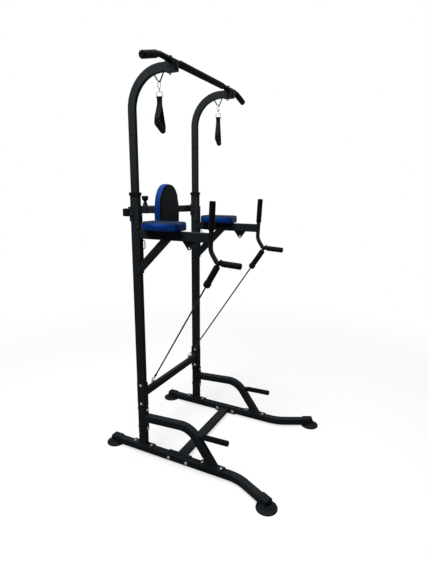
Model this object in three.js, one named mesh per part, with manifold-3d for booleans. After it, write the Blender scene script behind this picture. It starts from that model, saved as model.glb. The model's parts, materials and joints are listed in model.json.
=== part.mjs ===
import * as THREE from "three";
import { mergeVertices } from "three/addons/utils/BufferGeometryUtils.js";
import Module from "manifold-3d";

const wasm = await Module();
wasm.setup();

// A dip station, in millimetres. X runs across the two uprights, the front faces -Y, and Z is up from the
// floor. Heights are above the floor, and depths are measured from the line through the two uprights.

// Clearances and shared stock
const seatGap = 0.3; // between a piece and the one it rests on or wraps
const runningGap = 0.4; // between a piece and the one it slides or turns in
const overrun = 2; // how far a cutting tool reaches past what it cuts
const weldSink = 0.5; // how far a welded piece reaches into its carrier
const plateThickness = 3; // every bracket plate
const bracketWing = 20; // how far a bracket folds round the tube that it sits on
const tubeWall = 1.5;
const boltHeadRadius = 7.5;
const boltHeadHeight = 5;
const nutRadius = 8;
const nutHeight = 6;
const bracketLength = 137;
const bracketBoltSpacing = 107;
const wireRadius = 2.5; // the bent rod of the small loops

// Base rails and their feet
const uprightSpacing = 590;
const railSize = 38;
const railWall = 2;
const railCorner = 4;
const railClearance = 9; // underside of a rail above the floor
const railRearReach = 208;
const railStraightRun = 570; // from the uprights forward to the corner of the splay
const railSplayRun = 212; // from that corner to the rail's end
const railSplayAngle = 27;
const railBendRadius = 220;
const footRadius = 51;
const footNeckRadius = 26;
const footNeckHeight = 24;
const footRimHeight = 5;
const footWall = 3;
const footSleeveLength = 42; // the sleeve behind the middle of the foot
const footRailInset = 10; // how far a rail runs past the middle of its foot

// Cross tube between the rails
const crossTubeWidth = 50;
const crossTubeHeight = 25;
const crossTubeSetback = 225; // in front of the uprights
const tubeCorner = 4;

// Lower uprights
const uprightDepth = 50;
const uprightWidth = 25;
const uprightTop = 1404;
const footBracketSetback = 5; // middle of the foot bracket behind the uprights' line
const bushingLip = 3.5;
const bushingHeight = 16;
const bushingTop = 4;

// Lower crossbar with the eyelets for the bands
const crossbarHeight = 40;
const crossbarDepth = 25;
const crossbarLevel = 346;
const eyeletSpacing = 397;
const eyeletWidth = 18;
const eyeletHeight = 16;

// Push-up handles
const pushTubeSize = 38;
const pushBracketLevel = 202.5;
const pushTubeLevel = 211.5;
const pushCornerSetback = 300;
const pushCornerLevel = 229;
const pushFootSetback = 428;
const pushBendRadius = 115;
const pushFootBracketSetback = 419.5;
const pushStubSetback = 325;
const pushStubLevel = 193.5;
const pushStubReach = 508;
const pushStubEndLevel = 200.5;
const pushGripStart = 368;

// Arms, their brackets and braces
const armHeight = 45;
const armLevel = 1208;
const armBracketLow = 1010;
const armBracketHigh = 1325;
const braceDepth = 38;
const braceTopSetback = 172;
const braceFootLevel = 1045;
const hangerSetback = 300;
const hangerWidth = 72;
const hangerDrop = 41;
const hangerThickness = 5;
const hangerHoleRadius = 5;
const hangerTipRadius = 10;
const hookLoopLevel = 1156;
const hookLoopHeight = 40;
const hookLoopReach = 20;
const clampBoltLevel = 1297;
const clampBoltRadius = 4;
const armSideBoltLevel = 1239;
const armSideBoltSetback = 20;

// Arm pads
const armPadWidth = 110;
const armPadLength = 204;
const armPadThickness = 43;
const armPadRear = 59; // rear end in front of the uprights' line

// Dip handles: a vertical grip above the arm's end and a forward grip below it
const handleRadius = 11;
const handleTopSetback = 422;
const handleTopLevel = 1368;
const handleKneeSetback = 411.5;
const handleKneeInset = 2.5; // the arm ends this far behind the handle's axis, coped round it
const handleKneeLevel = 1149;
const handleKneeRadius = 65;
const handleElbowSetback = 445;
const handleElbowLevel = 1096.5;
const handleElbowRadius = 16;
const handleEndSetback = 560;
const handleEndLevel = 1090;
const gripRadius = 14.5;
const gripEndWall = 4;
const gripEndRound = 3;
const verticalGripLow = 1242;
const forwardGripStart = 471;

// Backrest crossbar, sleeve and slide
const backrestTubeSize = 38;
const backrestLevel = 1311;
const backrestCornerInset = 60; // from an upright's middle to the outer bend
const backrestInnerCorner = 97;
const backrestJoggle = 138;
const backrestBendRadius = 60;
const backrestOverhang = 16; // from an upright's middle to the tube's end
const backrestEarLength = 70;
const backrestEarLevel = 1303;
const backrestEarBoltSetback = 14;
const endCapThickness = 2.5;
const endCapDepth = 12;
const sleeveSize = 42;
const sleeveFront = 136;
const sleeveRear = 230;
const slideSize = 30;
const slideWall = 2;
const slideRear = 256;
const slideForwardTravel = 75;
const slideRearTravel = 4;
const mountBlockSize = 38;
const mountPlateSize = 110;
const mountPlateThickness = 4;
const mountPlay = 1; // between the mount and the sleeve at the end of the rear travel
const backPadWidth = 205;
const backPadTop = 1454;
const backPadBottom = 1190;
const backPadThickness = 40;
const backPadFront = 10; // front face in front of the uprights' line

// Pull knob of the backrest
const knobSetback = 159; // behind the uprights' line
const knobPinRadius = 4;
const knobHousingRadius = 15;
const knobHousingTopRadius = 8;
const knobHousingHeight = 24;
const knobChamberRadius = 6.5;
const knobChamberFloor = 2;
const knobChamberHeight = 19;
const knobShoulderRadius = 6;
const knobShoulderHeight = 3;
const knobHeadRadius = 18.5;
const knobHeadHeight = 28;
const knobHeadGap = 6;
const knobTipReach = 2;
const springWire = 0.6;
const springRadius = 5.2;
const springTurns = 4;

// Masts and the pull-up bar's cradle
const mastDepth = 40;
const mastWidth = 20;
const mastCorner = 3;
const mastBottom = 1200;
const mastTop = 1945;
const mastBendRadius = 165;
const mastReach = 245;
const mastHoleRadius = 4.5;
const mastHoleLow = 1436.5;
const mastHoleHigh = 1671;
const cradleRear = 194;
const cradleDrop = 25; // its underside below the axis of the mast
const cradleRise = 34;
const cradleLip = 21; // top of its front above the axis of the mast
const cradleChamfer = 6;
const cradleWidth = 27;
const mastCapThickness = 4;
const mastCapSpigot = 14;
const ringEyeRear = 120;
const ringEyeFront = 182;
const ringEyeSetback = 154;
const ringEyeDrop = 64; // below the mast's axis, where its legs would meet if it weren't rounded
const ringEyeRadius = 3;
const ringEyeBend = 8;
const smallEyeSetback = 212;
const smallEyeWidth = 13;
const smallEyeDrop = 11;
const smallEyeWire = 2;

// Pull-up bar
const barRadius = 12.5;
const barSetback = 215;
const barRise = 26; // above the axis of the mast
const barBendReach = 382;
const barTipRun = 124; // how far the tip reaches past the bend
const barTipDrop = 34;
const barBendRadius = 70;
const barFoamRadius = 16;
const barFoamReach = 221;
const tipGripClear = 15.5; // bare tube between the bend and the tip's grip

// Hanging strap handles
const strapTurn = 20; // how far a handle hangs turned about the vertical, in degrees
const strapTilt = 11; // how far the grip hangs tilted, in degrees
const hookTurn = 25;
const hookWire = 2;
const hookRadius = 7;
const hookStraight = 16;
const gateLength = 11;
const gateRadius = 1.6;
const barrelRadius = 4.5;
const barrelHeight = 8;
const hookEyeRadius = 5;
const ringWire = 2;
const ringHeight = 20;
const ringWidth = 30;
const webWidth = 24;
const webThickness = 2.5;
const webDrop = 132;
const webPartingShare = 0.12; // how far down the two legs run together
const webKneeHeight = 20; // where a leg turns down along the grip's end
const strapCoreRadius = 6;
const strapGripRadius = 14;
const strapGripLength = 112;

// Bands from the dip handles down to the lower crossbar
const bandRadius = 4;
const bandLoopSetback = 456;
const bandLoopWire = 3;
const bandLoopShare = 1.2; // the tube is cut at a slant by the loop, so the loop is wider than the tube
const bandNeckRadius = 5;
const bandGripRadius = 14;
const bandGripStart = 22;
const bandGripLength = 94;
const bandKnobRadius = 17.5;
const bandKnobLength = 27;
const linkWire = 2;
const linkRadius = 6;
const linkStraight = 22;
const plugEyeRadius = 5;
const plugEyeWire = 1.5;
const plugRadius = 5.5;
const plugLength = 24;

// How finely round things are faceted
const weldTolerance = 1e-4;
const cornerSegments = 1; // each counts as two chords of a quarter turn
const roundSegments = 6; // each counts as two chords of a full turn
const wireSegments = 3;
const wireSides = 8;
const bendSteps = 5;
const turnedSides = 14;
const smallSides = 10;
const webSides = 12;
const thinSides = 5;
const hexSides = 6;
const footSides = 20;
const cushionSides = 32;
const cushionRings = 10;

// Places that follow from the sizes above
const sideReach = uprightSpacing / 2;
const railTop = railClearance + railSize;
const railLevel = railClearance + railSize / 2;
const uprightFront = -uprightDepth / 2;
const plateOutside = seatGap + plateThickness;
const boltOffset = bracketBoltSpacing / 2;
const cradleLow = mastTop - cradleDrop;
const cradleHigh = mastTop + cradleRise;
const cradleFront = mastTop + cradleLip;
const ringEyeTip = mastTop - ringEyeDrop;
const barLevel = mastTop + barRise;
const armReach = handleKneeSetback - handleKneeInset;

const X = new THREE.Vector3(1, 0, 0);
const Y = new THREE.Vector3(0, 1, 0);
const Z = new THREE.Vector3(0, 0, 1);
const at = (x, y, z) => new THREE.Vector3(x, y, z);
const degrees = THREE.MathUtils.degToRad;

// A planar route of straight runs and round corners. Its parameter counts its stations, which lie at the
// ends of each run and round each corner, so a section swept along it lands only where the route needs one.
class Route extends THREE.Curve {
  constructor(corners, side, radii = [], steps = bendSteps) {
    super();
    this.side = side;
    this.stations = [];
    const heading = (i) => corners[i + 1].clone().sub(corners[i]).normalize();
    this.stations.push({ point: corners[0], tangent: heading(0) });
    for (let i = 1; i < corners.length - 1; i++) {
      this.addBend(corners[i], heading(i - 1), heading(i), radii[i - 1], steps);
    }
    const last = corners.length - 1;
    this.stations.push({ point: corners[last], tangent: heading(last - 1) });
  }

  addBend(corner, before, after, radius, steps) {
    const angle = before.angleTo(after);
    const start = corner.clone().addScaledVector(before, -radius * Math.tan(angle / 2));
    const inward = after.clone().addScaledVector(before, -after.dot(before)).normalize();
    for (let i = 0; i <= steps; i++) {
      const turn = (angle * i) / steps;
      const point = start
        .clone()
        .addScaledVector(before, radius * Math.sin(turn))
        .addScaledVector(inward, radius * (1 - Math.cos(turn)));
      const tangent = before.clone().multiplyScalar(Math.cos(turn)).addScaledVector(inward, Math.sin(turn));
      this.stations.push({ point, tangent });
    }
  }

  between(key, t, target) {
    const place = t * (this.stations.length - 1);
    const low = Math.min(Math.floor(place), this.stations.length - 2);
    return target.lerpVectors(this.stations[low][key], this.stations[low + 1][key], place - low);
  }

  getPoint(t, target = new THREE.Vector3()) {
    return this.between("point", t, target);
  }

  getPointAt(u, target = new THREE.Vector3()) {
    return this.between("point", u, target);
  }

  computeFrenetFrames() {
    const tangents = this.stations.map((station) => station.tangent);
    const normals = tangents.map(() => this.side);
    const binormals = tangents.map((tangent) => new THREE.Vector3().crossVectors(tangent, this.side));
    return { tangents, normals, binormals };
  }
}

// Sections: the first size lies along a route's side, the second across it
function rectangle(width, depth, corner) {
  const shape = new THREE.Shape();
  const x = width / 2 - corner;
  const y = depth / 2 - corner;
  shape.absarc(x, y, corner, 0, Math.PI / 2);
  shape.absarc(-x, y, corner, Math.PI / 2, Math.PI);
  shape.absarc(-x, -y, corner, Math.PI, 1.5 * Math.PI);
  shape.absarc(x, -y, corner, 1.5 * Math.PI, 2 * Math.PI);
  return shape;
}

// The inside of a box tube: the same outline with plain bevels at its corners
function hollow(width, depth, corner, wall = tubeWall) {
  const x = width / 2 - wall;
  const y = depth / 2 - wall;
  const bevel = corner - wall;
  const shape = new THREE.Shape();
  shape.moveTo(x, bevel - y);
  for (const [across, up] of [[1, 1], [-1, 1], [-1, -1], [1, -1]]) {
    const nearX = [across * x, up * (y - bevel)];
    const nearY = [across * (x - bevel), up * y];
    const ordered = across * up > 0 ? [nearX, nearY] : [nearY, nearX];
    ordered.forEach(([cornerX, cornerY]) => shape.lineTo(cornerX, cornerY));
  }
  return shape;
}

function boxTubeSection(width, depth, corner, wall) {
  const shape = rectangle(width, depth, corner);
  shape.holes.push(hollow(width, depth, corner, wall));
  return shape;
}

function circle(radius) {
  return new THREE.Shape().absarc(0, 0, radius, 0, 2 * Math.PI);
}

function roundTubeSection(radius, wall) {
  const shape = circle(radius);
  shape.holes.push(circle(radius - wall));
  return shape;
}

// Solids
function swept(section, route, curveSegments = cornerSegments) {
  const steps = route.stations.length - 1;
  return new THREE.ExtrudeGeometry(section, { steps, curveSegments, extrudePath: route });
}

function straight(section, from, to, side, curveSegments = cornerSegments) {
  return swept(section, new Route([from, to], side), curveSegments);
}

function rod(from, to, radius, sides = smallSides, endRadius = radius) {
  const reach = to.clone().sub(from);
  const geometry = new THREE.CylinderGeometry(endRadius, radius, reach.length(), sides);
  const turn = new THREE.Quaternion().setFromUnitVectors(Y, reach.clone().normalize());
  geometry.applyQuaternion(turn);
  const middle = from.clone().addScaledVector(reach, 1 / 2);
  return geometry.translate(middle.x, middle.y, middle.z);
}

// A profile of [radius, height] pairs turned about a line from the base along the axis
function turned(profile, base, axis, sides = turnedSides) {
  const points = profile.map(([radius, height]) => new THREE.Vector2(radius, height));
  const geometry = new THREE.LatheGeometry(points, sides);
  geometry.applyQuaternion(new THREE.Quaternion().setFromUnitVectors(Y, axis));
  return geometry.translate(base.x, base.y, base.z);
}

function block(low, high) {
  const size = high.clone().sub(low);
  const middle = low.clone().add(high).divideScalar(2);
  return new THREE.BoxGeometry(size.x, size.y, size.z).translate(middle.x, middle.y, middle.z);
}

// A geometry drawn in its own X, Y and Z set down at an origin, with its X and Y axes given
function framed(geometry, origin, xAxis, yAxis) {
  const zAxis = new THREE.Vector3().crossVectors(xAxis, yAxis);
  return geometry.applyMatrix4(new THREE.Matrix4().makeBasis(xAxis, yAxis, zAxis).setPosition(origin));
}

// A flat outline of constant thickness, centred on its own plane
function plate(outline, thickness, curveSegments = wireSegments) {
  const settings = { depth: thickness, bevelEnabled: false, curveSegments };
  return new THREE.ExtrudeGeometry(outline, settings).translate(0, 0, -thickness / 2);
}

function solidOf(geometry) {
  const bare = new THREE.BufferGeometry().setAttribute("position", geometry.getAttribute("position"));
  bare.setIndex(geometry.getIndex());
  const merged = mergeVertices(bare, weldTolerance);
  const corners = merged.getIndex().array;
  const kept = [];
  for (let i = 0; i < corners.length; i += 3) {
    const [a, b, c] = [corners[i], corners[i + 1], corners[i + 2]];
    if (a !== b && b !== c && c !== a) kept.push(a, b, c);
  }
  const vertProperties = new Float32Array(merged.getAttribute("position").array);
  const build = (triVerts) => new wasm.Manifold(new wasm.Mesh({ numProp: 3, vertProperties, triVerts }));
  const solid = build(new Uint32Array(kept));
  return solid.volume() < 0 ? build(new Uint32Array(kept.reverse())) : solid;
}

function geometryOf(solid) {
  const mesh = solid.getMesh();
  const geometry = new THREE.BufferGeometry();
  geometry.setAttribute("position", new THREE.BufferAttribute(new Float32Array(mesh.vertProperties), 3));
  geometry.setIndex(new THREE.BufferAttribute(new Uint32Array(mesh.triVerts), 1));
  return geometry;
}

function join(...geometries) {
  return geometryOf(geometries.map(solidOf).reduce((sum, solid) => sum.add(solid)));
}

function cut(geometry, ...tools) {
  return geometryOf(tools.map(solidOf).reduce((rest, tool) => rest.subtract(tool), solidOf(geometry)));
}

// Shared details
function boltHead(base, axis) {
  const rimShare = 1 / 3;
  const crownShare = 1 / 2;
  const profile = [
    [0, -weldSink],
    [boltHeadRadius, -weldSink],
    [boltHeadRadius, boltHeadHeight * rimShare],
    [boltHeadRadius * crownShare, boltHeadHeight],
    [0, boltHeadHeight],
  ];
  return turned(profile, base, axis, wireSides);
}

function nut(base, axis) {
  const from = base.clone().addScaledVector(axis, -weldSink);
  return rod(from, base.clone().addScaledVector(axis, nutHeight), nutRadius, hexSides);
}

// A folded plate that wraps three sides of a tube. Its own X lies across the tube, Y out of the face that
// it sits on, and Z along the tube.
function bracket(tubeAcross, length, wing = bracketWing) {
  const inner = tubeAcross / 2 + seatGap;
  const outer = inner + plateThickness;
  const foldShare = 0.8;
  const fold = plateThickness * foldShare;
  const top = plateOutside;
  const shape = new THREE.Shape();
  shape.moveTo(-outer, -wing);
  shape.lineTo(-inner, -wing);
  shape.lineTo(-inner, seatGap);
  shape.lineTo(inner, seatGap);
  shape.lineTo(inner, -wing);
  shape.lineTo(outer, -wing);
  shape.absarc(outer - fold, top - fold, fold, 0, Math.PI / 2);
  shape.absarc(fold - outer, top - fold, fold, Math.PI / 2, Math.PI);
  return plate(shape, length, cornerSegments);
}

// A bent rod that stands on a face as a loop: two legs and a crossing bar
function rodLoop(foot, along, outward, width, height, radius) {
  const corners = [
    foot.clone().addScaledVector(along, -width / 2).addScaledVector(outward, -weldSink),
    foot.clone().addScaledVector(along, -width / 2).addScaledVector(outward, height),
    foot.clone().addScaledVector(along, width / 2).addScaledVector(outward, height),
    foot.clone().addScaledVector(along, width / 2).addScaledVector(outward, -weldSink),
  ];
  const side = new THREE.Vector3().crossVectors(along, outward).normalize();
  const bend = Math.min(width, height) / 3;
  return swept(circle(radius), new Route(corners, side, [bend, bend], 3), wireSegments);
}

// The radius of a faceted bore whose flats clear a round tube
function clearRadius(radius) {
  return (radius + seatGap) / Math.cos(Math.PI / turnedSides);
}

// A foam grip with a closed, rounded end, slid over a tube from its open end
function grip(from, to, outer, tubeRadius) {
  const length = from.distanceTo(to);
  const bore = clearRadius(tubeRadius);
  const axis = to.clone().sub(from).normalize();
  const profile = [
    [bore, 0],
    [outer, 0],
    [outer, length - gripEndRound],
    [outer - gripEndRound, length],
    [0, length],
    [0, length - gripEndWall],
    [bore, length - gripEndWall],
    [bore, 0],
  ];
  return turned(profile, from, axis);
}

// A soft pad: a ball drawn out to a plan outline, flat on its faces, crowned, and drawn in at its base
function cushion(outline, thickness) {
  const geometry = new THREE.SphereGeometry(1, cushionSides, cushionRings).rotateX(Math.PI / 2);
  const place = geometry.getAttribute("position");
  const squareness = 0.42; // 1 is a ball, 0 a box
  const drawnInShare = 0.04;
  for (let i = 0; i < place.count; i++) {
    const height = THREE.MathUtils.clamp(place.getZ(i), -1, 1);
    const angle = Math.atan2(place.getY(i), place.getX(i));
    const ring = Math.sqrt(Math.max(0, 1 - height * height)) ** squareness;
    const drawnIn = 1 - drawnInShare * ((1 - height) / 2) ** 2;
    const rim = outline(angle);
    const rise = (Math.sign(height) * Math.abs(height) ** squareness * thickness) / 2;
    place.setXYZ(i, rim.x * ring * drawnIn, rim.y * ring * drawnIn, rise);
  }
  return geometry;
}

// A point of a superellipse with the given half sizes
function roundedPoint(angle, halfWidth, halfHeight, power) {
  const c = Math.cos(angle);
  const s = Math.sin(angle);
  const reach = (Math.abs(c) ** power + Math.abs(s) ** power) ** (-1 / power);
  return new THREE.Vector2(halfWidth * c * reach, halfHeight * s * reach);
}

// Rails: each runs forward past its upright and splays out to its front foot
const splay = degrees(railSplayAngle);
const splayHeading = at(Math.sin(splay), -Math.cos(splay), 0);
const railCornerPoint = at(sideReach, -railStraightRun, railLevel);

function makeRail() {
  const corners = [
    at(sideReach, railRearReach, railLevel),
    railCornerPoint,
    railCornerPoint.clone().addScaledVector(splayHeading, railSplayRun),
  ];
  const route = new Route(corners, Z, [railBendRadius]);
  return swept(boxTubeSection(railSize, railSize, railCorner, railWall), route);
}

// A rubber foot: a box cap over the rail's end, on a base that flares to a disc. The heading points outward.
function makeFoot(middle, heading) {
  const outside = railSize + 2 * (seatGap + footWall);
  const sleeveStart = at(0, 0, railLevel).add(middle).addScaledVector(heading, -footSleeveLength);
  const railEnd = at(0, 0, railLevel).add(middle).addScaledVector(heading, footRailInset);
  const sleeveEnd = railEnd.clone().addScaledVector(heading, seatGap + footWall);
  const sleeve = straight(rectangle(outside, outside, railCorner), sleeveStart, sleeveEnd, Z);
  const shoulderShare = 0.3;
  const shoulderRadius = footNeckRadius + shoulderShare * (footRadius - footNeckRadius);
  const shoulderHeight = footRimHeight + shoulderShare * (footNeckHeight - footRimHeight);
  const bell = turned(
    [
      [0, 0],
      [footRadius, 0],
      [footRadius, footRimHeight],
      [shoulderRadius, shoulderHeight],
      [footNeckRadius, footNeckHeight],
      [0, footNeckHeight],
    ],
    middle,
    Z,
    footSides,
  );
  const pocketSize = railSize + 2 * seatGap;
  const pocketStart = middle.clone().setZ(railLevel).addScaledVector(heading, -footRadius - overrun);
  const pocketEnd = railEnd.clone().addScaledVector(heading, seatGap);
  const pocket = straight(rectangle(pocketSize, pocketSize, railCorner), pocketStart, pocketEnd, Z);
  return cut(join(sleeve, bell), pocket);
}

function makeFrontFoot() {
  const reach = railSplayRun - footRailInset;
  const middle = railCornerPoint.clone().addScaledVector(splayHeading, reach).setZ(0);
  return makeFoot(middle, splayHeading);
}

function makeRearFoot() {
  return makeFoot(at(sideReach, railRearReach - footRailInset, 0), Y);
}

function makeBaseCrossTube() {
  const reach = sideReach - railSize / 2 - plateOutside;
  const section = rectangle(crossTubeHeight, crossTubeWidth, tubeCorner);
  const bore = hollow(crossTubeHeight, crossTubeWidth, tubeCorner);
  const end = (x) => at(x, -crossTubeSetback, railLevel);
  const tube = straight(section, end(-reach - weldSink), end(reach + weldSink), Z);
  const pieces = [tube];
  for (const sign of [-1, 1]) {
    const face = at(sign * (sideReach - railSize / 2), -crossTubeSetback, railLevel);
    const inward = X.clone().multiplyScalar(-sign);
    pieces.push(framed(bracket(railSize, bracketLength), face, Z, inward));
    for (const shift of [-boltOffset, boltOffset]) {
      const base = face.clone().addScaledVector(inward, plateOutside).addScaledVector(Y, shift);
      pieces.push(nut(base, inward));
    }
  }
  const boreReach = reach + plateOutside + overrun;
  const boreTool = straight(bore, end(-boreReach), end(boreReach), Z);
  return cut(join(...pieces), boreTool);
}

// Lower upright with the bracket that stands on its rail, the heads of the bolts that hold the lower
// crossbar, and the nuts of the push-up handle's bolts
function makeUpright() {
  const bottom = railTop + seatGap;
  const floor = bottom + plateThickness;
  const outline = rectangle(uprightWidth, uprightDepth, tubeCorner);
  const tube = straight(outline, at(sideReach, 0, bottom + weldSink), at(sideReach, 0, uprightTop), X);
  const foot = framed(bracket(railSize, bracketLength), at(sideReach, footBracketSetback, railTop), X, Z);
  const pieces = [tube, foot];
  for (const shift of [-boltOffset, boltOffset]) {
    pieces.push(boltHead(at(sideReach, footBracketSetback + shift, floor), Z));
    pieces.push(boltHead(at(sideReach + uprightWidth / 2, 0, crossbarLevel + shift), X));
    pieces.push(nut(at(sideReach, uprightDepth / 2, pushBracketLevel + shift), Y));
  }
  const inside = hollow(uprightWidth, uprightDepth, tubeCorner);
  const bore = straight(inside, at(sideReach, 0, floor), at(sideReach, 0, uprightTop + overrun), X);
  const clampHole = rod(
    at(sideReach, uprightFront - overrun, clampBoltLevel),
    at(sideReach, uprightFront + tubeWall + overrun, clampBoltLevel),
    clampBoltRadius + seatGap,
  );
  return cut(join(...pieces), bore, clampHole);
}

// The plastic bushing on the upright's top, in which the mast slides
function makeBushing() {
  const low = at(sideReach, 0, uprightTop + bushingTop - bushingHeight);
  const seat = at(sideReach, 0, uprightTop + seatGap);
  const high = at(sideReach, 0, uprightTop + bushingTop);
  const lip = 2 * bushingLip;
  const skirt = 2 * seatGap;
  const play = 2 * runningGap;
  const outside = rectangle(uprightWidth + lip, uprightDepth + lip, tubeCorner + bushingLip / 2);
  const inside = rectangle(uprightWidth + skirt, uprightDepth + skirt, tubeCorner);
  const bore = rectangle(mastWidth + play, mastDepth + play, mastCorner);
  return cut(
    straight(outside, low, high, X),
    straight(inside, low.clone().addScaledVector(Z, -overrun), seat, X),
    straight(bore, low, high.clone().addScaledVector(Z, overrun), X),
  );
}

function makeLowerCrossbar() {
  const reach = sideReach - uprightWidth / 2 - plateOutside;
  const end = (x) => at(x, 0, crossbarLevel);
  const section = rectangle(crossbarHeight, crossbarDepth, tubeCorner);
  const bore = hollow(crossbarHeight, crossbarDepth, tubeCorner);
  const pieces = [straight(section, end(-reach - weldSink), end(reach + weldSink), Z)];
  for (const sign of [-1, 1]) {
    const inward = X.clone().multiplyScalar(-sign);
    const across = Y.clone();
    const face = at(sign * (sideReach - uprightWidth / 2), 0, crossbarLevel);
    pieces.push(framed(bracket(uprightDepth, bracketLength), face, across, inward));
    for (const shift of [-boltOffset, boltOffset]) {
      const base = face.clone().addScaledVector(inward, plateOutside).addScaledVector(Z, shift);
      pieces.push(nut(base, inward));
    }
    const eyeFoot = at((sign * eyeletSpacing) / 2, 0, crossbarLevel + crossbarHeight / 2);
    pieces.push(rodLoop(eyeFoot, X, Z, eyeletWidth, eyeletHeight, wireRadius));
  }
  const boreReach = reach + plateOutside + overrun;
  const boreTool = straight(bore, end(-boreReach), end(boreReach), Z);
  return cut(join(...pieces), boreTool);
}

// Push-up handle: a square tube from the upright's front, bent down to the rail, with a forward stub
function makePushHandle() {
  const faceY = uprightFront - seatGap;
  const plateY = uprightFront - plateOutside;
  const footTop = railTop + seatGap;
  const corners = [
    at(sideReach, plateY + weldSink, pushTubeLevel),
    at(sideReach, -pushCornerSetback, pushCornerLevel),
    at(sideReach, -pushFootSetback, footTop + plateThickness),
  ];
  const heading = corners[2].clone().sub(corners[1]).normalize();
  const wall = seatGap + plateThickness;
  corners[2].addScaledVector(heading, pushTubeSize);
  const route = new Route(corners, X, [pushBendRadius]);
  const tube = swept(rectangle(pushTubeSize, pushTubeSize, tubeCorner), route);
  const inner = corners.map((corner) => corner.clone());
  inner[0].setY(faceY + overrun);
  inner[2].addScaledVector(heading, overrun);
  const innerRoute = new Route(inner, X, [pushBendRadius]);
  const inside = swept(hollow(pushTubeSize, pushTubeSize, tubeCorner), innerRoute);
  const stub = rod(
    at(sideReach, -pushStubSetback, pushStubLevel),
    at(sideReach, -pushStubReach, pushStubEndLevel),
    handleRadius,
    turnedSides,
  );
  const halfTube = pushTubeSize / 2 + overrun;
  const below = block(
    at(sideReach - halfTube, -pushFootSetback - 2 * pushTubeSize, footTop - 2 * pushTubeSize),
    at(sideReach + halfTube, -pushFootSetback + 2 * pushTubeSize, footTop + plateThickness - weldSink),
  );
  const wallBracket = framed(
    bracket(uprightWidth, bracketLength),
    at(sideReach, uprightFront, pushBracketLevel),
    X,
    Y.clone().negate(),
  );
  const footBracket = framed(
    bracket(railSize, bracketLength),
    at(sideReach, -pushFootBracketSetback, railTop),
    X,
    Z,
  );
  const pieces = [cut(join(tube, stub), below), wallBracket, footBracket];
  for (const shift of [-boltOffset, boltOffset]) {
    pieces.push(boltHead(at(sideReach, plateY, pushBracketLevel + shift), Y.clone().negate()));
    pieces.push(boltHead(at(sideReach, shift - pushFootBracketSetback, railTop + wall), Z));
  }
  const drain = rod(
    at(sideReach, -pushFootSetback, railTop - overrun),
    at(sideReach, -pushFootSetback, footTop + 2 * plateThickness),
    clampBoltRadius,
  );
  const solid = join(...pieces);
  const kept = block(
    at(sideReach - halfTube, -pushFootSetback - 2 * pushTubeSize, footTop + plateThickness),
    at(sideReach + halfTube, overrun, pushCornerLevel + pushTubeSize),
  );
  return cut(solid, geometryOf(solidOf(inside).intersect(solidOf(kept))), drain);
}

function makePushGrip() {
  const stubStart = at(sideReach, -pushStubSetback, pushStubLevel);
  const stubEnd = at(sideReach, -pushStubReach, pushStubEndLevel);
  const axis = stubEnd.clone().sub(stubStart).normalize();
  const share = (pushGripStart - pushStubSetback) / (pushStubReach - pushStubSetback);
  const from = stubStart.clone().lerp(stubEnd, share);
  const to = stubEnd.clone().addScaledVector(axis, gripEndWall + seatGap);
  return grip(from, to, gripRadius, handleRadius);
}

// Dip handle: one round tube with a knee in front of the arm and an elbow to the forward grip
const handleCorners = [
  at(sideReach, -handleTopSetback, handleTopLevel),
  at(sideReach, -handleKneeSetback, handleKneeLevel),
  at(sideReach, -handleElbowSetback, handleElbowLevel),
  at(sideReach, -handleEndSetback, handleEndLevel),
];

function makeDipHandle() {
  const route = new Route(handleCorners, X, [handleKneeRadius, handleElbowRadius], 4);
  return swept(roundTubeSection(handleRadius, tubeWall), route, roundSegments);
}

function gripOnHandle(fromIndex, toIndex, startShare) {
  const from = handleCorners[fromIndex];
  const to = handleCorners[toIndex];
  const axis = to.clone().sub(from).normalize();
  const start = from.clone().lerp(to, startShare);
  return grip(start, to.clone().addScaledVector(axis, gripEndWall + seatGap), gripRadius, handleRadius);
}

function makeVerticalGrip() {
  const share = (verticalGripLow - handleKneeLevel) / (handleTopLevel - handleKneeLevel);
  return gripOnHandle(1, 0, share);
}

function makeForwardGrip() {
  const share = (forwardGripStart - handleElbowSetback) / (handleEndSetback - handleElbowSetback);
  return gripOnHandle(2, 3, share);
}

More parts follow.
